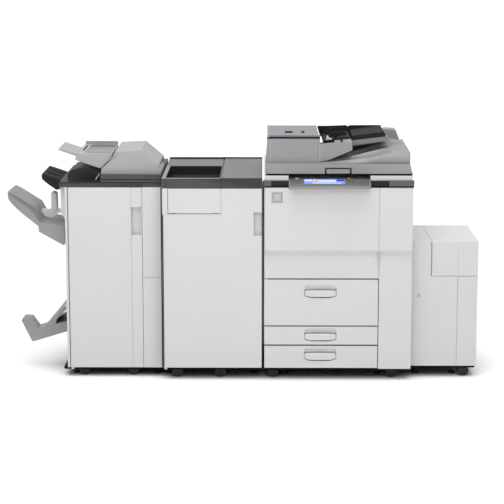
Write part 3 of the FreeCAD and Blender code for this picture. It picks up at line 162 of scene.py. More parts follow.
def steel(name, colour, roughness=0.34, stretch=(1, 40, 1)):
    """Sheet or drawn steel with fine lines along one axis."""
    material, surface, place = tree(name, roughness, 0.9)
    links = material.node_tree.links
    lines = noise(material, place, 90.0, 4.0, stretch)
    links.new(ramp(material, lines, shade(colour, 0.8), colour), surface.inputs["Base Color"])
    links.new(spread(material, lines, roughness - 0.08, roughness + 0.12), surface.inputs["Roughness"])
    bump(material, surface, lines, 0.00004, 0.25)
    return material


def rubber(name, colour, roughness=0.7):
    """Matt rubber, scuffed and grimy."""
    material, surface, place = tree(name, roughness)
    links = material.node_tree.links
    scuffs = noise(material, place, 45.0, 6.0)
    links.new(ramp(material, scuffs, colour, shade(colour, 2.2), 0.45, 0.8), surface.inputs["Base Color"])
    links.new(spread(material, scuffs, roughness - 0.1, roughness + 0.12), surface.inputs["Roughness"])
    bump(material, surface, noise(material, place, 800.0), 0.0001, 0.3)
    return material


def glowing(name, colour, strength, roughness=0.15):
    """A lit display or lamp behind clear plastic."""
    material, surface, place = tree(name, roughness)
    links = material.node_tree.links
    glow = ramp(material, noise(material, place, 18.0), shade(colour, 0.9), colour)
    links.new(glow, surface.inputs["Base Color"])
    links.new(glow, surface.inputs["Emission Color"])
    surface.inputs["Emission Strength"].default_value = strength
    return material


def glass(name):
    material, surface, place = tree(name, 0.03)
    surface.inputs["Transmission Weight"].default_value = 0.9
    surface.inputs["IOR"].default_value = 1.5
    smears = noise(material, place, 30.0, 4.0)
    material.node_tree.links.new(spread(material, smears, 0.02, 0.08), surface.inputs["Roughness"])
    material.node_tree.links.new(ramp(material, smears, (0.86, 0.93, 0.9), (0.92, 0.96, 0.94)),
                                 surface.inputs["Base Color"])
    return material


WHITE = (0.6, 0.6, 0.603)
FINISHES = {
    "cabinet_white": painted("cabinet_white", WHITE),
    "white_panel": painted("white_panel", WHITE, 0.34),
    "light_grey_plastic": moulded("light_grey_plastic", (0.27, 0.27, 0.268)),
    "blue_grey_plastic": moulded("blue_grey_plastic", (0.225, 0.225, 0.25), 0.42, specular=0.35),
    "mid_grey_plastic": moulded("mid_grey_plastic", (0.26, 0.262, 0.265), 0.45),
    "pale_plastic": moulded("pale_plastic", (0.7, 0.7, 0.7), 0.4),
    "dark_grey_plastic": moulded("dark_grey_plastic", (0.024, 0.0235, 0.025), 0.42, worn=0.1, specular=0.25),
    "panel_charcoal": moulded("panel_charcoal", (0.15, 0.143, 0.14), 0.36),
    "carriage_black": moulded("carriage_black", (0.02, 0.02, 0.02), 0.5, worn=0.15),
    "foot_black": moulded("foot_black", (0.015, 0.015, 0.016), 0.5),
    "white_backing": moulded("white_backing", (0.78, 0.78, 0.76), 0.6),
    "frame_steel": steel("frame_steel", (0.55, 0.56, 0.57)),
    "pin_steel": steel("pin_steel", (0.6, 0.6, 0.61), 0.25, (1, 1, 30)),
    "drum_coating": steel("drum_coating", (0.06, 0.22, 0.2), 0.18),
    "roller_rubber": rubber("roller_rubber", (0.09, 0.035, 0.02), 0.55),
    "wheel_rubber": rubber("wheel_rubber", (0.014, 0.014, 0.015)),
    "clear_glass": glass("clear_glass"),
    "screen": glowing("screen", (0.2, 0.27, 0.62), 0.45),
    "key_green": moulded("key_green", (0.07, 0.19, 0.13), 0.3),
    "key_red": moulded("key_red", (0.24, 0.06, 0.05), 0.3),
    "key_grey": moulded("key_grey", (0.16, 0.16, 0.165), 0.4),
}
SILVER = moulded("silver_trim", (0.24, 0.24, 0.233), 0.3, grain=0.1)
# Black for black parts and dark joints, and also for painted shade in gaps, slots and under the units.
GAP_BLACK = moulded("gap_black", (0.004, 0.004, 0.004), 0.8, specular=0.1)
SEAM_GREY = moulded("seam_grey", (0.5, 0.5, 0.5), 0.5)
DECK_GREY = moulded("deck_grey", (0.15, 0.15, 0.15), 0.45)
BAND_GREY = moulded("band_grey", (0.085, 0.085, 0.087), 0.4)
MARK_GREY = moulded("mark_grey", (0.42, 0.42, 0.42), 0.4)
TINTED = moulded("tinted_plastic", (0.1, 0.1, 0.104), 0.16, grain=0.04)
TRAY_BLACK = moulded("tray_black", (0.022, 0.021, 0.022), 0.6, specular=0.08)
INSERTER_GREY = moulded("inserter_grey", (0.37, 0.37, 0.375), 0.4)
INSERTER_NODES = ("inserter_housing", "inserter_cover", "inserter_tray", "inserter_extension")
BLACK_TRAY_NODES = ("adf_document_tray", "document_guide_front", "document_guide_rear", "proof_tray")
LAMP_BLUE = glowing("lamp_blue", (0.5, 0.66, 1.0), 0.9)
LAMP_AMBER = glowing("lamp_amber", (0.85, 0.5, 0.05), 0.55)
TILE_WHITE = glowing("tile_white", (0.5, 0.58, 0.9), 0.42)
TILE_NAVY = glowing("tile_navy", (0.02, 0.06, 0.28), 0.2)
TILE_YELLOW = glowing("tile_yellow", (0.8, 0.55, 0.04), 0.35)


def finish_of(node):
    """The material that a node's piece is made in."""
    if node in INSERTER_NODES:
        return INSERTER_GREY
    if node in BLACK_TRAY_NODES:
        return TRAY_BLACK
    return FINISHES[SLOT_OF[node]]


# ---- shaping tools ----------------------------------------------------------------------------

SHARP = math.radians(32)
FLAT = math.radians(0.5)
WELD = 0.01 * MM
FULL_BEVEL_FACE = 2.4
LEAST_BEVEL = 0.1
SHORT_EDGE = 0.4


def box_of(node):
    """A node's low and high corner in millimetres."""
    low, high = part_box(node)
    return Vector(low) / MM, Vector(high) / MM


def site(node):
    """A node's low and high corner in millimetres, and its body."""
    return (*box_of(node), BODY_OF[node])


def scaled(bm, share):
    bmesh.ops.scale(bm, vec=(share, share, share), verts=bm.verts[:])
    return bm


def heal(bm):
    """Joins doubled points and makes flat faces whole."""
    bmesh.ops.remove_doubles(bm, verts=bm.verts[:], dist=WELD)
    bmesh.ops.dissolve_limit(bm, angle_limit=FLAT, verts=bm.verts[:], edges=bm.edges[:])


def smooth(piece):
    for face in piece.data.polygons:
        face.use_smooth = True
    return piece


def shaded(piece):
    """Shading that follows the large faces and stays apart at sharp edges."""
    piece.modifiers.new("shading", "WEIGHTED_NORMAL").keep_sharp = True
    return piece


def thickness(edge):
    """How wide the narrower face beside an edge is."""
    return min(face.calc_area() / edge.calc_length() for face in edge.link_faces)


def rounded(piece, width, segments=3):
    """Rounds every sharp edge of a piece, less where a face beside it is narrow."""
    bm = bmesh.new()
    bm.from_mesh(piece.data)
    weights = bm.edges.layers.float.new("bevel_weight_edge")
    for edge in bm.edges:
        edge.smooth = True
        if len(edge.link_faces) != 2 or edge.calc_face_angle(0) < SHARP:
            continue
        room = thickness(edge) / (FULL_BEVEL_FACE * width)
        if edge.calc_length() < SHORT_EDGE * width or room < LEAST_BEVEL:
            edge.smooth = False
        else:
            edge[weights] = min(1.0, room)
    for face in bm.faces:
        face.smooth = True
    bm.to_mesh(piece.data)
    bm.free()
    bevel = piece.modifiers.new("rounding", "BEVEL")
    bevel.limit_method = "WEIGHT"
    bevel.width = width
    bevel.segments = segments
    bevel.use_clamp_overlap = True
    return shaded(piece)


def settle(piece):
    """Turns a piece's modifiers into its own mesh."""
    graph = bpy.context.evaluated_depsgraph_get()
    mesh = bpy.data.meshes.new_from_object(piece.evaluated_get(graph))
    piece.modifiers.clear()
    piece.data = mesh
    return piece


def linked(name, data):
    """A new object in the scene."""
    item = bpy.data.objects.new(name, data)
    bpy.context.scene.collection.objects.link(item)
    return item


def make(name, bm, material):
    """A new object from a bmesh in millimetres."""
    scaled(bm, MM)
    bmesh.ops.recalc_face_normals(bm, faces=bm.faces[:])
    mesh = bpy.data.meshes.new(name)
    bm.to_mesh(mesh)
    bm.free()
    mesh.materials.append(material)
    return linked(name, mesh)


def stand_for(piece, *nodes):
    """The piece takes the place and the body of CAD nodes."""
    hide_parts(*nodes)
    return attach(piece, BODY_OF[nodes[0]])


def copied(node):
    """A tidy copy of a CAD node's shape, its flat faces made whole."""
    bm = bmesh.new()
    bm.from_mesh(NODES[node].data)
    for layer in (bm.loops.layers.float_vector, bm.loops.layers.uv):
        for found in list(layer.values()):
            layer.remove(found)
    heal(bm)
    piece = make(f"{node}_shell", scaled(bm, 1 / MM), finish_of(node))
    if "custom_normal" in piece.data.attributes:
        piece.data.attributes.remove(piece.data.attributes["custom_normal"])
    return piece


def shell(node, width):
    """The node's own shape with its edges rounded as moulded or folded parts have them."""
    return stand_for(rounded(copied(node), width * MM), node)


def arc_points(corner, before, after, radius, steps=6):
    """Points that round a corner of an outline."""
    corner, before, after = Vector(corner[:2]), Vector(before[:2]), Vector(after[:2])
    back, ahead = (before - corner).normalized(), (after - corner).normalized()
    half = back.angle(ahead) / 2
    reach = radius / math.tan(half)
    centre = corner + (back + ahead).normalized() * (radius / math.sin(half))
    start, end = corner + back * reach - centre, corner + ahead * reach - centre
    turn = math.atan2(start.x * end.y - start.y * end.x, start.dot(end))
    points = []
    for index in range(steps + 1):
        angle = turn * index / steps
        points.append(centre + Matrix.Rotation(angle, 2) @ start)
    return points


def outline(corners):
    """Outline points in 2D. A corner's third value is its rounding radius."""
    points = []
    for index, corner in enumerate(corners):
        if len(corner) == 2:
            points.append(Vector(corner))
        else:
            before, after = corners[index - 1], corners[(index + 1) % len(corners)]
            points += arc_points(corner, before, after, corner[2])
    return points


AXES = {"x": (1, 2, 0), "y": (0, 2, 1), "z": (0, 1, 2)}


def prism(corners, axis, span):
    """A bmesh in millimetres: an outline drawn across one axis and drawn out along it."""
    bm = bmesh.new()
    first, second, third = AXES[axis]
    rings = []
    for level in span:
        ring = []
        for point in outline(corners):
            spot = [0, 0, 0]
            spot[first], spot[second], spot[third] = point[0], point[1], level
            ring.append(bm.verts.new(spot))
        rings.append(ring)
    bm.faces.new(rings[0])
    bm.faces.new(rings[1])
    count = len(rings[0])
    for index in range(count):
        after = (index + 1) % count
        bm.faces.new((rings[0][index], rings[0][after], rings[1][after], rings[1][index]))
    return bm


def box(low, high, radius=0.0):
    """A bmesh box whose upright edges, seen from above, may be round."""
    corner = (radius,) if radius else ()
    return prism([(low[0], low[1], *corner), (high[0], low[1], *corner), (high[0], high[1], *corner),
                  (low[0], high[1], *corner)], "z", (low[2], high[2]))


def combine(piece, other_bm, operation):
    """Cuts, joins or intersects a piece with a bmesh in millimetres, which is used up."""
    tool = make("tool", other_bm, piece.data.materials[0])
    change = piece.modifiers.new("change", "BOOLEAN")
    change.operation = operation
    change.solver = "EXACT"
    change.object = tool
    settle(piece)
    bpy.data.objects.remove(tool)
    bm = bmesh.new()
    bm.from_mesh(piece.data)
    heal(bm)
    bm.to_mesh(piece.data)
    bm.free()
    return piece


def plain(name, bm, material, body, width=0.8, segments=2):
    """A small piece of its own, with rounded edges, that rides on a body."""
    piece = rounded(make(name, bm, material), width * MM, segments)
    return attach(piece, body)


def lathe(name, profile, centre, axis, material, steps=48):
    """A turned piece. The profile gives (radius, place along the axis), closed."""
    bm = bmesh.new()
    first, second, third = AXES[axis]
    rings = []
    for step in range(steps):
        angle = 2 * math.pi * step / steps
        ring = []
        for radius, along in profile:
            spot = [0, 0, 0]
            spot[first] = centre[0] + radius * math.cos(angle)
            spot[second] = centre[1] + radius * math.sin(angle)
            spot[third] = along
            ring.append(bm.verts.new(spot))
        rings.append(ring)
    for index, ring in enumerate(rings):
        following = rings[(index + 1) % steps]
        for spot in range(len(profile)):
            after = (spot + 1) % len(profile)
            bm.faces.new((ring[spot], ring[after], following[after], following[spot]))
    bmesh.ops.remove_doubles(bm, verts=bm.verts[:], dist=0.001)
    return make(name, bm, material)


def loft(rings):
    """A closed bmesh through rings that have the same number of points, in millimetres."""
    bm = bmesh.new()
    rows = [[bm.verts.new(point) for point in ring] for ring in rings]
    count = len(rows[0])
    for near, far in zip(rows, rows[1:]):
        for index in range(count):
            after = (index + 1) % count
            bm.faces.new((near[index], near[after], far[after], far[index]))
    bm.faces.new(rows[0])
    bm.faces.new(rows[-1])
    return bm


def carved(node, cuts, width):
    """The node's own shape with grooves or recesses cut into it, its edges rounded."""
    piece = copied(node)
    for tool in cuts:
        combine(piece, tool, "DIFFERENCE")
    return stand_for(rounded(piece, width * MM), node)


def smoothstep(start, end, value):
    share = min(1.0, max(0.0, (value - start) / (end - start)))
    return share * share * (3 - 2 * share)


def relief(x_span, y_span, floor, height, columns, rows):
    """A closed bmesh block whose top follows height(x, y), in millimetres."""
    bm = bmesh.new()
    top, low = [], []
    for row in range(rows + 1):
        y = y_span[0] + (y_span[1] - y_span[0]) * row / rows
        top.append([])
        low.append([])
        for column in range(columns + 1):
            x = x_span[0] + (x_span[1] - x_span[0]) * column / columns
            top[-1].append(bm.verts.new((x, y, height(x, y))))
            low[-1].append(bm.verts.new((x, y, floor)))
    for row in range(rows):
        for column in range(columns):
            for grid in (top, low):
                bm.faces.new((grid[row][column], grid[row][column + 1],
                              grid[row + 1][column + 1], grid[row + 1][column]))
    rim = [(0, column) for column in range(columns)]
    rim += [(row, columns) for row in range(rows)]
    rim += [(rows, column) for column in range(columns, 0, -1)]
    rim += [(row, 0) for row in range(rows, 0, -1)]
    for index, (row, column) in enumerate(rim):
        next_row, next_column = rim[(index + 1) % len(rim)]
        bm.faces.new((top[row][column], top[next_row][next_column],
                      low[next_row][next_column], low[row][column]))
    return bm


def disc(centre, radius, axis, span, steps=28):
    """A round prism across an axis."""
    angles = [2 * math.pi * step / steps for step in range(steps)]
    return prism([(centre[0] + radius * math.cos(angle), centre[1] + radius * math.sin(angle))
                  for angle in angles], axis, span)


# ---- main unit: control panel --------------------------------------------------------------------

TILT = math.radians(13.6)
LIP_HEIGHT = 12.5


def on_slope(bm, lip):
    """Lays a bmesh drawn flat as (x, reach, lift) on the sloping face that starts at the lip."""
    turn = Matrix.Rotation(TILT, 4, "X")
    bmesh.ops.transform(bm, matrix=Matrix.Translation((0, *lip)) @ turn, verts=bm.verts[:])
    return bm


def slope_extent(node, lip):
    """Where a node lies on the slope: its lowest and highest reach, and its highest lift."""
    spots = [(point.co.y / MM - lip[0], point.co.z / MM - lip[1]) for point in NODES[node].data.vertices]
    reaches = [y * math.cos(TILT) + z * math.sin(TILT) for y, z in spots]
    lifts = [z * math.cos(TILT) - y * math.sin(TILT) for y, z in spots]
    return min(reaches), max(reaches), max(lifts)


def panel_face(lip, low, high):
    """The dark face inside the silver rim, cut out round the screen and the keys."""
    face = make("panel_face", on_slope(box((low.x + 4, 5, -1.5), (high.x - 4, 118, 0.7), 10), lip),
                FINISHES["panel_charcoal"])
    screen_low, screen_high = box_of("touch_screen")
    near, far, _ = slope_extent("touch_screen", lip)
    cuts = [box((screen_low.x - 1, near - 1, -6), (screen_high.x + 1, far + 1, 6), 2)]
    for node in ("start_key", "stop_key"):
        key_low, key_high = box_of(node)
        middle = (key_low.x + key_high.x) / 2
        near, far, _ = slope_extent(node, lip)
        cuts.append(disc((middle, (near + far) / 2), (key_high.x - key_low.x) / 2 + 0.8, "z", (-6, 6)))
    key_low, key_high = box_of("number_keys")
    near, far, _ = slope_extent("number_keys", lip)
    cuts.append(box((key_low.x - 1, near - 1, -6), (key_high.x + 1, far + 1, 6), 3))
    for tool in cuts:
        combine(face, on_slope(tool, lip), "DIFFERENCE")
    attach(rounded(face, 0.5 * MM, 2), BODY_OF["control_panel"])


def screen_content(lip):
    """A generic picture on the screen: plain tiles, no lettering."""
    low, high = box_of("touch_screen")
    near, far, top = slope_extent("touch_screen", lip)
    tiles = (
        ("screen_header", 0.0, 1.0, 0.86, 1.0, TILE_NAVY),
        ("screen_list", 0.02, 0.2, 0.42, 0.8, TILE_WHITE),
        ("screen_note", 0.22, 0.31, 0.4, 0.84, TILE_YELLOW),
        ("screen_main", 0.33, 0.78, 0.3, 0.72, TILE_WHITE),
        ("screen_side", 0.81, 0.99, 0.5, 0.78, TILE_NAVY),
        ("screen_foot", 0.2, 0.9, 0.06, 0.2, TILE_WHITE),
    )
    for name, left, right, bottom, upper, material in tiles:
        spans = [(low.x + (high.x - low.x) * left, near + (far - near) * bottom, top - 0.2),
                 (low.x + (high.x - low.x) * right, near + (far - near) * upper, top + 0.25)]
        plain(name, on_slope(box(*spans), lip), material, BODY_OF["control_panel"], 0.1)


def control_panel():
    low, high, body = site("control_panel")
    lip = (low.y, low.z + LIP_HEIGHT)
    rim = combine(copied("control_panel"),
                  box((low.x, low.y, low.z - 5), (high.x, high.y + 40, high.z + 5), 12), "INTERSECT")
    rim.data.materials[0] = SILVER
    stand_for(rounded(rim, 2.5 * MM), "control_panel")
    panel_face(lip, low, high)
    screen_content(lip)
    lamps = (("power_lamp", 38, 100, LAMP_BLUE, 7), ("data_lamp", 281, 100, LAMP_AMBER, 6))
    for name, inset, reach, material, half in lamps:
        plate = box((low.x + inset - half, reach - 3, 0.2), (low.x + inset + half, reach + 3, 1.3), 2)
        plain(name, on_slope(plate, lip), material, body, 0.3)
    for index, inset in enumerate((19, 38)):
        plain(f"round_button_{index}", on_slope(disc((low.x + inset, 20), 6, "z", (0.2, 2.0)), lip),
              FINISHES["key_grey"], body, 0.6)
    for row in range(2):
        for column in range(3):
            key = box((low.x + 14 + 15 * column, 44 + 16 * row, 0.2),
                      (low.x + 25 + 15 * column, 52 + 16 * row, 1.6), 2)
            plain(f"function_key_{row}_{column}", on_slope(key, lip), BAND_GREY, body, 0.4)
    for row in range(3):
        key = box((low.x + 268, 36 + 17 * row, 0.2), (low.x + 284, 43 + 17 * row, 1.5), 2)
        plain(f"edit_key_{row}", on_slope(key, lip), BAND_GREY, body, 0.4)


# ---- main unit: front ----------------------------------------------------------------------------

def front_band():
    """The lighter blocks at both ends of the dark band, and a black strip under it: painted shadow in the gap
    below the band.
    """
    low, high, body = site("front_band")
    for side, start, end in (("left", low.x + 0.5, low.x + 39), ("right", high.x - 117, high.x - 0.5)):
        plain(f"band_end_{side}", box((start, low.y - 0.8, low.z + 6), (end, low.y + 10, high.z - 0.5), 4),
              BAND_GREY, body, 1.5)
    # Painted shadow: a black strip along the band's lower edge.
    plain("band_shadow_line", box((low.x + 6, low.y - 0.6, low.z + 0.2), (high.x - 4, low.y + 6, low.z + 5)),
          GAP_BLACK, body, 0.5)


TRAY_POCKETS = {"tray_1_front": (131, 194), "tray_2_front": (15, 78), "tray_3_front": (33, 98)}
POCKET_HALF = 75.5
POCKET_DEPTH = 22.0
POCKET_RISE = 11


def pocket_floor(share):
    """How high the pocket's lower edge is above its lowest point, across its width (-1 to 1)."""
    return POCKET_RISE * share ** 4


def tray_front(node, bottom, top):
    """A tray's front with a finger pocket between two heights, and the curved bar across it."""
    low, high = box_of(node)
    middle = low.x + 262.5
    face_y = low.y + 6
    floor, ceiling = low.z + bottom, low.z + top
    panel = make(f"{node}_panel", box((low.x, face_y, low.z), (high.x, face_y + 25, high.z)),
                 FINISHES[SLOT_OF[node]])
    combine(panel, box((low.x + 35, face_y + 20, low.z + 13), (high.x - 36, high.y, high.z - 6)), "UNION")
    shares = [-1 + step / 8 for step in range(17)]
    edge = [(middle + POCKET_HALF * share, floor + pocket_floor(share)) for share in shares]
    edge += [(middle + POCKET_HALF, ceiling, 22), (middle - POCKET_HALF, ceiling, 22)]
    deep = face_y + POCKET_DEPTH
    slope = [(face_y - 1, ceiling + 1), (face_y + 2, ceiling - 1), (face_y + 9, ceiling - 14, 12),
             (deep, floor + 14, 6), (deep, floor - 1), (face_y - 1, floor - 1)]
    hollow = make("hollow", prism(edge, "y", (face_y - 1, deep + 1)), panel.data.materials[0])
    combine(hollow, prism(slope, "x", (middle - 90, middle + 90)), "INTERSECT")
    tool = bmesh.new()
    tool.from_mesh(hollow.data)
    bpy.data.objects.remove(hollow)
    combine(panel, scaled(tool, 1 / MM), "DIFFERENCE")
    stand_for(rounded(panel, 2.2 * MM), node)
    rings = []
    for share in [-0.985 + 1.97 * step / 24 for step in range(25)]:
        swell = 1 - share ** 2
        front = face_y + 1.5 - 6.5 * swell
        under = floor + pocket_floor(share) + 2 + 3.5 * swell
        crest = ceiling - 29 + 3 * swell
        section = outline([(front + 13, under, 2), (front + 13, crest, 3), (front + 1, crest, 7),
                           (front, under, 3)])
        rings.append([(middle + POCKET_HALF * share, point[0], point[1]) for point in section])
    grip = make(f"{node}_grip", loft(rings), FINISHES[SLOT_OF[node]])
    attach(smooth(grip), BODY_OF[node])


def badge():
    """A plain square plaque on the front door: frame, inset and a small generic relief."""
    low, high, body = site("front_door")
    corner = Vector((low.x + 32, low.y, high.z - 73))
    size = 54
    plain("badge_frame", box(corner + Vector((0, -1.2, 0)), corner + Vector((size, 3, size))),
          MARK_GREY, body, 1.0)
    plain("badge_border", box(corner + Vector((5, -1.6, 5)), corner + Vector((size - 5, 1, size - 5))),
          FINISHES["mid_grey_plastic"], body, 0.4)
    plain("badge_inset", box(corner + Vector((9, -2.0, 9)), corner + Vector((size - 9, 1, size - 9))),
          MARK_GREY, body, 0.6)
    for index in range(3):
        level = corner.z + 17 + 8 * index
        plain(f"badge_rib_{index}", box((corner.x + 18, corner.y - 2.5, level),
                                        (corner.x + 36, corner.y - 1, level + 4)), SEAM_GREY, body, 0.6)


# ---- document feeder -----------------------------------------------------------------------------

LIFT_RECESS = (397, 507)


def feeder_base():
    """Gasket and bumper under the feeder, and the lifting tab in its recess."""
    low, high, body = site("adf_base")
    gasket_z = (low.z - 7.4, low.z + 1.5)
    bars = [((low.x + 1, low.y + 0.6), (high.x - 1, low.y + 26)),
            ((low.x + 1, low.y + 20), (low.x + 13, 200)),
            ((high.x - 13, low.y + 20), (high.x - 1, 200))]
    for name, (near, far) in zip(("front", "left", "right"), bars):
        plain(f"feeder_gasket_{name}", box((*near, gasket_z[0]), (*far, gasket_z[1])), GAP_BLACK, body, 1.0)
    bumper = box((high.x - 6, low.y + 1, low.z - 7), (high.x + 1.5, low.y + 16, low.z + 6), 2)
    plain("feeder_corner_bumper", bumper, GAP_BLACK, body, 1.5)
    middle = sum(LIFT_RECESS) / 2
    liner = box((middle - 54.5, low.y + 9, low.z - 1), (middle + 54.5, low.y + 14, low.z + 21.5))
    plain("lift_recess_liner", liner, MARK_GREY, body, 0.5)
    tab = box((middle - 53.4, low.y + 1, low.z - 1.5), (middle + 53.4, low.y + 7, low.z + 21.0))
    plain("lift_tab", tab, FINISHES["light_grey_plastic"], body, 1.5)


def feeder_body():
    """The feeder's housing with panel grooves, a slot and a sensor recess in the mouth block, black floors in
    these as painted shade, pale lines beside the grooves as painted highlights, and a black strip under the
    cover's front edge as painted shadow.
    """
    low, _, body = site("adf_housing")
    seam_top = 1136
    cuts = [box((x - 1, low.y - 1, low.z + 4), (x + 1, low.y + 1.8, seam_top)) for x in (133.6, 362)]
    hollows = (("mouth_slot_shade", (466, 475), (-327, -212), 1113),
               ("mouth_recess_shade", (372, 438), (-298, -212), 1105))
    cuts += [box((x[0], y[0], level), (x[1], y[1], 1140)) for _, x, y, level in hollows]
    carved("adf_housing", cuts, 3.0)
    for name, x, y, level in hollows:
        # Painted shade: black floors deep in the slot and the recess.
        floor = box((x[0] + 0.3, y[0] + 0.3, level - 1), (x[1] - 0.3, y[1] - 0.3, level + 1.5))
        plain(f"{name}_floor", floor, GAP_BLACK, body, 0.2)
    # Painted highlights: pale lines beside the grooves, where the edges catch the light.
    for name, x, width in (("left", 137, 1.6), ("right", 367, 1.2)):
        line = box((x - width, low.y - 0.5, low.z + 4), (x + width, low.y + 1, seam_top))
        plain(f"feeder_edge_highlight_{name}", line, MARK_GREY, body, 0.3)
    wall = [(369, 1106), (522, 1106), (522, 1134), (500, 1152, 6), (369, 1152, 3)]
    plain("feeder_back_wall", prism(wall, "y", (99.5, 104)), TRAY_BLACK, body, 1.0)
    # Painted shadow: a black strip in the gap under the cover's front edge.
    gap = box((low.x + 2, low.y - 0.8, 1138.6), (368, low.y + 12, 1144.6))
    plain("feeder_top_shadow", gap, GAP_BLACK, body, 0.4)


def feed_cover():
    """The hinged cover, with two finger slots, black floors in them as painted shade, and a pale edge beside
    the tray.
    """
    low, high, body = site("adf_feed_cover")
    slots = (((207, -222), (243, -135)), ((284, -222), (299, -135)))
    cuts = [box((*near, high.z - 3), (*far, high.z + 3), 2) for near, far in slots]
    carved("adf_feed_cover", cuts, 1.6)
    for index, (near, far) in enumerate(slots):
        # Painted shade: black floors in the shallow finger slots.
        floor = box((near[0] + 0.4, near[1] + 0.4, high.z - 4), (far[0] - 0.4, far[1] - 0.4, high.z - 2.2))
        plain(f"cover_slot_shade_{index}", floor, GAP_BLACK, body, 0.2)
    edge = box((high.x - 6, low.y + 5, high.z - 1), (high.x - 0.5, high.y - 5, high.z + 0.5))
    plain("cover_pale_edge", edge, FINISHES["pale_plastic"], body, 0.4)


def document_tray():
    """A dark tray in two steps with a raised back, over a paler lower plate."""
    low, high, body = site("adf_document_tray")
    dark = finish_of("adf_document_tray")
    near = [(386, 1101, 4), (514, 1108), (514, 1133, 3), (386, 1116, 5)]
    plate = make("document_tray_near", prism(near, "y", (low.y + 1, high.y)), dark)
    stand_for(rounded(plate, 1.5 * MM, 2), "adf_document_tray")
    far = [(517, 1104), (681, 1126), (679, 1149, 4), (671, 1156.5, 4), (524, 1138, 5)]
    plain("document_tray_far", prism(far, "y", (low.y + 5, high.y)), dark, body, 2.0, 3)
    lower = [(519, 1100), (527, 1089.5, 3), (694, 1117, 3), (691, 1136, 3), (519, 1116)]
    plain("document_tray_lower", prism(lower, "y", (low.y, high.y - 3)),
          FINISHES["blue_grey_plastic"], body, 1.5)
    back = [(394, 1112), (677, 1136), (677, 1156.5, 3), (526, 1156, 2), (516, 1150, 2), (508, 1156, 2),
            (394, 1152, 6)]
    plain("document_tray_back", prism(back, "y", (high.y - 15, high.y)), dark, body, 2.0, 3)
    lever = [(398, 1112), (430, 1115), (428, 1122, 2), (417, 1124), (411, 1135, 3), (404, 1134, 3),
             (401, 1122)]
    plain("feed_lever", prism(lever, "y", (low.y + 2, low.y + 46)), FINISHES["pale_plastic"], body, 1.2)
    plain("feed_stop", prism([(440, 1118), (448, 1119), (447, 1130, 2), (441, 1130, 2)], "y",
                             (low.y + 14, low.y + 60)), GAP_BLACK, body, 0.8)


DISH = ((377, 1031), (410, 1031), (560, 1046), (700, 1072), (785, 1079))
TERRACES = ((-318, 0.3, 13, 10), (-245, 0.5, 18, 12), (-140, 0.5, 16, 14), (-20, 0.36, 12, 16))


def dish_floor(x):
    """The output tray's height along its length."""
    for (start, low), (end, high) in zip(DISH, DISH[1:]):
        if x <= end:
            return low + (high - low) * smoothstep(start - 20, end + 20, x)
    return DISH[-1][1]


def dish_height(x, y):
    """Sweeping steps that fan out from the feeder towards the far right."""
    height = dish_floor(x)
    grown = smoothstep(395, 600, x) * (1 - 0.7 * smoothstep(690, 785, x))
    for start, slope, rise, width in TERRACES:
        line = start + slope * (x - 420) + 30 * smoothstep(420, 620, x)
        height += grown * rise * (smoothstep(line - width / 2, line + width / 2, y)
                                  - 0.6 * smoothstep(line + width / 2, line + 3.5 * width, y))
    front = smoothstep(-346, -334, y)
    return height * front + (1030 + 43 * smoothstep(520, 700, x)) * (1 - front)


def output_tray():
    """The sculpted tray under the feeder, and the wall behind it."""
    low, high = box_of("adf_output_tray")
    material = FINISHES[SLOT_OF["adf_output_tray"]]
    face = relief((low.x, high.x), (low.y, 118), low.z, dish_height, 68, 84)
    stand_for(smooth(make("output_tray_dish", face, material)), "adf_output_tray")
    wall = [(388, 1025), (785, 1025), (784, 1048), (752, 1131, 10), (700, 1133, 12), (560, 1082, 40),
            (388, 1050, 8)]
    plain("output_tray_wall", prism(wall, "y", (116, high.y)), material, BODY_OF["adf_output_tray"], 3.0, 3)


# ---- folding unit --------------------------------------------------------------------------------

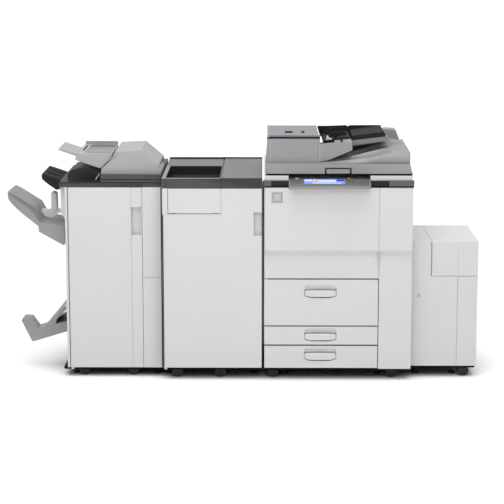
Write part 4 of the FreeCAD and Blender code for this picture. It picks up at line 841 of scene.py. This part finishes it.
def fold_unit():
    """Top frame, bin lining and seams of the folding unit, black strips as painted shade in the gaps at both
    its sides, and the same painted shade along its door's left edge.
    """
    low, high, body = site("fold_top_bin")
    top = high.z - 8
    bin_left, bin_right, bin_near, bin_far = -348, -97, low.y + 20, low.y + 445
    rims = (("front", (low.x + 2, low.y + 2), (bin_right, bin_near - 1), "light_grey_plastic"),
            ("left", (low.x + 2, bin_near - 1), (bin_left - 1, bin_far), "light_grey_plastic"),
            ("back", (low.x + 2, bin_far + 1), (bin_right + 2, high.y - 12), None),
            ("lid", (bin_right + 9, low.y + 2), (high.x - 2, high.y - 12), None))
    for name, near, far, slot in rims:
        level = top + 2 if name == "lid" else top
        plain(f"fold_rim_{name}", box((*near, level - 0.5), (*far, level + 0.7)),
              FINISHES[slot] if slot else DECK_GREY, body, 0.5)
    bin_plates = (((bin_left + 0.5, bin_far - 2), (bin_right - 0.5, bin_far - 0.4)),
                  ((bin_left + 0.4, bin_near + 1), (bin_left + 2, bin_far - 2)),
                  ((bin_right - 2, bin_near + 1), (bin_right - 0.4, bin_far - 2)))
    for index, (near, far) in enumerate(bin_plates):
        plain(f"fold_bin_plate_{index}", box((*near, 918), (*far, top - 1.5)), TRAY_BLACK, body, 0.3)
    plain("fold_fence_face", box((low.x + 1, high.y - 12, top - 1), (high.x - 1, high.y - 0.5, high.z - 0.3)),
          GAP_BLACK, body, 0.6)
    for name, x in (("left", bin_left), ("right", bin_right + 7)):
        plain(f"fold_seam_{name}", box((x - 0.8, low.y - 0.3, 913), (x + 0.8, low.y + 2, top)),
              GAP_BLACK, body, 0.2)
    plain("fold_lower_line", box((low.x + 2, low.y + 1, 909.5), (high.x - 1, low.y + 20, 914)),
          GAP_BLACK, body, 0.3)
    main = BODY_OF["main_side_covers"]
    # Painted shade: black strips in the gaps between the folding unit and its neighbours.
    plain("dock_gap_shade_right", box((101, -371, 62), (109, -362, 944)), GAP_BLACK, main, 0.8)
    plain("dock_gap_shade_left", box((-371.5, low.y + 1, 60), (-367.6, low.y + 26, 911)), GAP_BLACK, main, 0.5)
    low, high, door = site("fold_door")
    # Painted shade: a black strip along the door's left edge that carries on the gap's shade.
    edge = box((low.x, low.y - 0.3, low.z + 4), (low.x + 3.5, low.y + 3, 785))
    plain("fold_door_edge_shade", edge, GAP_BLACK, door, 0.3)
    grip = 690, 800
    dark = box((high.x - 37, low.y + 27.2, grip[0] + 2), (high.x - 1, low.y + 29.5, grip[1] - 2))
    plain("fold_door_grip_shade", dark, SEAM_GREY, door, 0.4)


# ---- finisher ------------------------------------------------------------------------------------

def finisher_deck():
    """The dark deck with its grooves, its rounded hump and the trim beside it."""
    low, high, body = site("finisher_top_deck")
    front = low.y
    cuts = [box((-656, front - 1, 944.5), (high.x + 1, front + 2.5, 947)),
            box((low.x - 1, front - 1, 931.5), (high.x + 1, front + 2, 933.5)),
            box((-462, front - 1, 909), (-460, front + 2, 932)),
            prism([(-830, 950), (-817, 960), (-800, 979), (-760, 988, 30), (-700, 986, 30), (-655.5, 972),
                   (-655.5, 1012), (-830, 1012)], "y", (-240, 60))]
    carved("finisher_top_deck", cuts, 2.2)
    lines = (("upper", (-655, 944.8), (high.x - 1, 946.7)),
             ("lower", (low.x + 6, 931.7), (high.x - 1, 933.3)))
    for name, near, far in lines:
        plain(f"deck_line_{name}", box((near[0], front + 1.2, near[1]), (far[0], front + 2.4, far[1])),
              GAP_BLACK, body, 0.1)
    strip = [(-656, 973), (-661, 973), (-680, 944), (-674, 944)]
    plain("deck_trim", prism(strip, "y", (front + 1, front + 5)), FINISHES["light_grey_plastic"], body, 0.6)


def finisher_door():
    low, high, body = site("finisher_door")
    seam = -513
    cuts = [box((seam - 1, low.y - 1, low.z - 1), (seam + 1, low.y + 1.6, high.z + 1))]
    carved("finisher_door", cuts, 3.0)
    line = box((seam - 0.9, low.y + 1.0, low.z + 3), (seam + 0.9, low.y + 1.5, high.z - 3))
    plain("finisher_door_seam", line, MARK_GREY, body, 0.1)


def inserter():
    """The inserter's slanted seam, and the tinted dish in its tray with a black strip on it as painted shade
    of a slot.
    """
    front = box_of("inserter_housing")[0].y
    seam = [(-577, 1060), (-574, 1060), (-641, 1001), (-645, 1001)]
    carved("inserter_housing", [prism(seam, "y", (front - 1, front + 2))], 3.5)
    body = BODY_OF["inserter_housing"]
    line = [(-576.6, 1059.5), (-574.4, 1059.5), (-641.6, 1001.5), (-644.4, 1001.5)]
    plain("inserter_seam", prism(line, "y", (front + 1.2, front + 1.9)), GAP_BLACK, body, 0.1)
    tray_low, tray_high = box_of("inserter_tray")
    tray = BODY_OF["inserter_tray"]
    level = 1062
    plate = [(-735, tray_low.y + 40, 10), (-690, tray_low.y + 16, 60), (-612, tray_low.y + 6, 14),
             (-608, tray_high.y - 12, 8), (-730, tray_high.y - 12, 8)]
    plain("inserter_dish", prism(plate, "z", (level - 2, level + 1.6)), TINTED, tray, 1.2, 3)
    # Painted shade: a black strip standing for a slot in the tray.
    plain("inserter_slot_shade", box((-752, -158, level - 1), (-744, 33, level + 0.7)), GAP_BLACK, tray, 0.3)


def shift_tray():
    """The large stacking tray: rounded outline, one long groove, a ledge along the front, and a painted shade
    band behind the ledge.
    """
    low, high = box_of("shift_tray")
    tray = copied("shift_tray")
    plan = [(low.x, low.y, 105), (high.x + 1, low.y), (high.x + 1, high.y), (low.x, high.y, 60)]
    combine(tray, prism(plan, "z", (low.z - 2, high.z + 2)), "INTERSECT")
    groove = [(-1072, 880, 5), (-1060, 852, 5), (-962, 778, 5), (-950, 800, 5)]
    combine(tray, prism(groove, "y", (-160, -138)), "DIFFERENCE")
    ledge = [(-1103, 857), (-985, 781), (-958, 737), (-935, 724), (-925, 742), (-962, 806), (-1090, 892)]
    combine(tray, prism(ledge, "y", (low.y - 2, low.y + 56)), "DIFFERENCE")
    stand_for(rounded(tray, 5 * MM, 4), "shift_tray")
    # Painted shade: a darker band along the foot of the step behind the ledge.
    crease = [(-1096, 850), (-984, 777), (-957, 735), (-953, 741), (-980, 784), (-1092, 857)]
    plain("shift_tray_crease_shade", prism(crease, "y", (low.y + 50, low.y + 55)), FINISHES["mid_grey_plastic"],
          BODY_OF["shift_tray"], 0.6)


def proof_tray():
    """The small upper tray with rounded outer corners and two grooves."""
    low, high = box_of("proof_tray")
    tray = copied("proof_tray")
    plan = [(low.x, low.y, 34), (high.x + 1, low.y), (high.x + 1, high.y), (low.x, high.y, 34)]
    combine(tray, prism(plan, "z", (low.z - 2, high.z + 2)), "INTERSECT")
    for y in (-150, -40):
        groove = [(-926, 975), (-924, 956, 4), (-862, 933, 4), (-858, 950)]
        combine(tray, prism(groove, "y", (y - 13, y + 13)), "DIFFERENCE")
    stand_for(rounded(tray, 3.5 * MM, 4), "proof_tray")


def booklet_tray():
    """The low catch tray: a narrow raised lip at the front, widening towards the cabinet."""
    low, high = box_of("booklet_tray")
    plan = [(low.x - 1, low.y - 1), (high.x + 1, low.y - 1), (high.x + 1, high.y + 1), (-862, high.y + 1, 30),
            (-948, low.y + 84, 60), (low.x - 1, low.y + 66, 10)]
    tray = combine(copied("booklet_tray"), prism(plan, "z", (low.z - 2, high.z + 2)), "INTERSECT")
    stand_for(rounded(tray, 3 * MM), "booklet_tray")


def jogger():
    """The upright post and the paddle of the sheet fence, both with soft edges."""
    material = FINISHES[SLOT_OF["jogger_fence"]]
    middle = (-893, -131)
    post = lathe("jogger_post", [(0, 764), (15, 764), (17, 768), (17, 850), (13, 860), (6, 863.5), (0, 864)],
                 middle, "z", material)
    stand_for(smooth(post), "jogger_fence")
    paddle = [(-957, 772, 4), (-938, 744, 8), (-902, 738, 12), (-877, 759, 6), (-862, 762), (-862, 777),
              (-950, 777, 3)]
    plain("jogger_paddle", prism(paddle, "y", (-146, -116)), material, BODY_OF["jogger_fence"], 4.0, 4)


def lct_lines():
    """One seam down the side tray's lid and cabinet, and a small mark on the cabinet."""
    seam = 1021, 1022.2
    low, high, body = site("lct_lid")
    line = box((seam[0], low.y - 0.2, low.z + 4), (seam[1], low.y + 1, high.z - 4))
    plain("lct_lid_line", line, MARK_GREY, body, 0.1)
    low, _, body = site("lct_cabinet")
    mark = box((low.x + 30, low.y - 0.6, 388), (low.x + 46, low.y + 2, 404))
    plain("lct_mark", mark, MARK_GREY, body, 0.5)
    line = box((seam[0], low.y - 0.2, low.z + 4), (seam[1], low.y + 1, 486))
    plain("lct_cabinet_line", line, MARK_GREY, body, 0.1)


def seam_fillers():
    """Pale liners set back in the narrow gaps round the doors."""
    door_low, door_high = box_of("front_door")
    column_low, _ = box_of("main_front_column")
    flap_low, flap_high = box_of("fold_flap")
    fin_low, _ = box_of("finisher_door")
    liners = (
        ("door_gap_liner", (door_high.x + 0.3, column_low.y + 1.2, door_low.z),
         (column_low.x + 0.5, column_low.y + 9, door_high.z), "main_front_column", 0.2),
        ("flap_gap_liner_right", (flap_high.x + 0.2, flap_low.y + 1.2, flap_low.z),
         (flap_high.x + 3.6, flap_low.y + 9, flap_high.z), "fold_door", 0.1),
        ("finisher_gap_liner", (fin_low.x - 2.6, fin_low.y + 0.6, fin_low.z + 2),
         (fin_low.x - 1.7, fin_low.y + 9, 905), "finisher_cabinet", 0.1),
    )
    for name, near, far, node, width in liners:
        plain(name, box(near, far), SEAM_GREY, BODY_OF[node], width)


def underside_shade_plates():
    """Black plates just under the units' covers: painted shade that darkens the floor beneath the machine."""
    for node in ("main_side_covers", "fold_cabinet", "finisher_cabinet", "lct_cabinet"):
        low, high = box_of(node)
        base = {"fold_cabinet": 58, "finisher_cabinet": 45}.get(node, low.z)
        front = low.y - 28 if node == "main_side_covers" else low.y
        tray = box((low.x + 5, front + 8, base - 10), (high.x - 5, high.y - 8, base - 1), 6)
        # Painted shade: a black plate under each unit.
        plain(f"{node}_underside_shade_plate", tray, GAP_BLACK, BODY_OF[node], 0.8)


SCREW_RADIUS = 4.2


def rear_details():
    """Screw heads along the edges of the rear panels."""
    for node, inset in (("main_rear_cover", 14), ("fold_cabinet", 14), ("finisher_cabinet", 16),
                        ("lct_cabinet", 14)):
        low, high = box_of(node)
        back = high.y
        profile = [(0, back - 0.5), (SCREW_RADIUS, back - 0.5), (SCREW_RADIUS, back - 0.1), (0, back - 0.05)]
        columns = 3 if high.x - low.x > 330 else 2
        rows = 5 if high.z - low.z > 700 else 4
        for column in range(columns):
            x = low.x + inset + (high.x - low.x - 2 * inset) * column / (columns - 1)
            for row in range(rows):
                z = low.z + inset + 6 + (high.z - low.z - 2 * inset - 12) * row / (rows - 1)
                head = lathe(f"{node}_screw_{column}_{row}", profile, (x, z), "y", FINISHES["pin_steel"], 16)
                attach(head, BODY_OF[node])


# ---- all units: covers carried over, most with rounded edges ------------------------------------

ROUNDING = {
    "main_side_covers": 1.5, "main_rear_cover": 1.2, "main_front_column": 2.5, "scanner_housing": 2.0,
    "front_door": 2.5, "tray_1_pan": 1.0, "tray_2_pan": 1.0, "tray_3_pan": 1.0, "front_band": 2.0,
    "adf_base": 2.0, "document_guide_front": 1.2, "document_guide_rear": 1.2, "fold_cabinet": 2.0,
    "fold_top_bin": 2.0, "fold_door": 3.0, "fold_flap": 2.5,
    "inserter_cover": 3.0, "inserter_tray": 3.0, "inserter_extension": 3.0,
    "lct_cabinet": 2.5, "lct_lid": 3.0, "platen_pad": 1.0, "scan_carriage": 2.0,
}


def crisp_shell(node):
    """A node's own shape with its edges left crisp and its curves shaded smooth."""
    piece = smooth(copied(node))
    piece.data.set_sharp_from_angle(angle=SHARP)
    stand_for(shaded(piece), node)


def covers():
    for node, width in ROUNDING.items():
        shell(node, width)
    crisp_shell("finisher_cabinet")


def bare_nodes():
    """The CAD nodes that stay as they are take their finish."""
    for node, item in NODES.items():
        if item.hide_render:
            continue
        item.data.materials.clear()
        item.data.materials.append(FINISHES[SLOT_OF[node]])


# ---- studio -------------------------------------------------------------------------------------

FLOOR_HALF = 60.0
SUN_POWER, SUN_SPREAD = 2.2, 60
SUN_TILT, SUN_PAN = 12, -25
SOFTBOX = {"place": (0, -2.7, 2.1), "target": (0, -0.3, 0.9), "size": (3.4, 1.1), "power": 24}
CAMERA_LENS = 120.4
CAMERA_PLACE = (0.1085, -8.1016, 2.0364)
CAMERA_TILT, CAMERA_PAN = 10.438, 0.413


def area_light(name, place, target, size, power):
    lamp = bpy.data.lights.new(name, "AREA")
    lamp.shape = "RECTANGLE"
    lamp.size, lamp.size_y = size
    lamp.energy = power
    item = linked(name, lamp)
    item.location = place
    item.rotation_euler = (Vector(target) - Vector(place)).to_track_quat("-Z", "Y").to_euler()


def joined(owner, operation, *values):
    """Two values joined by a math node."""
    node = owner.node_tree.nodes.new("ShaderNodeMath")
    node.operation = operation
    for value, socket in zip(values, node.inputs):
        owner.node_tree.links.new(value, socket)
    return node.outputs["Value"]


def soft_sky(world):
    """A white room, brighter overhead, in front and behind, and plain white to the camera."""
    nodes, links = world.node_tree.nodes, world.node_tree.links
    background = nodes["Background"]
    background.inputs["Color"].default_value = (1, 1, 1, 1)
    split = nodes.new("ShaderNodeSeparateXYZ")
    links.new(nodes.new("ShaderNodeTexCoord").outputs["Generated"], split.inputs["Vector"])
    along, up = split.outputs["Y"], split.outputs["Z"]
    overhead = spread(world, up, 0.06, 0.62, 0.0, 0.75)
    above_floor = spread(world, up, 0.0, 1.0, 0.12, 0.45)
    front = joined(world, "MULTIPLY", spread(world, along, 0.0, 0.8, -0.35, -0.9), above_floor)
    behind = spread(world, along, 0.0, 0.8, 0.3, 0.85)
    strongest = joined(world, "MAXIMUM", joined(world, "MAXIMUM", overhead, front), behind)
    strength = nodes.new("ShaderNodeMix")
    links.new(nodes.new("ShaderNodeLightPath").outputs["Is Camera Ray"], strength.inputs["Factor"])
    links.new(strongest, strength.inputs["A"])
    strength.inputs["B"].default_value = 1.0
    links.new(strength.outputs["Result"], background.inputs["Strength"])


def studio():
    """A white floor without an end, the white room round it, a wide sun and a softbox in front."""
    bm = bmesh.new()
    bmesh.ops.create_grid(bm, x_segments=8, y_segments=8, size=FLOOR_HALF)
    material, surface, place = tree("floor", 0.9)
    surface.inputs["Specular IOR Level"].default_value = 0.1
    material.node_tree.links.new(
        ramp(material, noise(material, place, 0.6), (0.93, 0.93, 0.93), (0.95, 0.95, 0.95)),
        surface.inputs["Base Color"])
    make("floor", scaled(bm, 1 / MM), material)

    world = bpy.data.worlds.new("studio")
    world.use_nodes = True
    soft_sky(world)
    bpy.context.scene.world = world
    bpy.context.scene.view_settings.view_transform = "Standard"
    sun = bpy.data.lights.new("sun", "SUN")
    sun.energy = SUN_POWER
    sun.angle = math.radians(SUN_SPREAD)
    linked("sun", sun).rotation_euler = (math.radians(SUN_TILT), 0, math.radians(SUN_PAN))
    area_light("softbox", **SOFTBOX)


def camera():
    lens = bpy.data.cameras.new("camera")
    lens.lens = CAMERA_LENS
    item = linked("camera", lens)
    item.location = CAMERA_PLACE
    item.rotation_euler = (math.radians(90 - CAMERA_TILT), 0, math.radians(CAMERA_PAN))
    bpy.context.scene.camera = item


covers()
control_panel()
front_band()
for node, (bottom, top) in TRAY_POCKETS.items():
    tray_front(node, bottom, top)
badge()
feeder_base()
feeder_body()
feed_cover()
document_tray()
output_tray()
fold_unit()
finisher_deck()
finisher_door()
inserter()
shift_tray()
proof_tray()
jogger()
booklet_tray()
lct_lines()
seam_fillers()
underside_shade_plates()
rear_details()
bare_nodes()
studio()
camera()
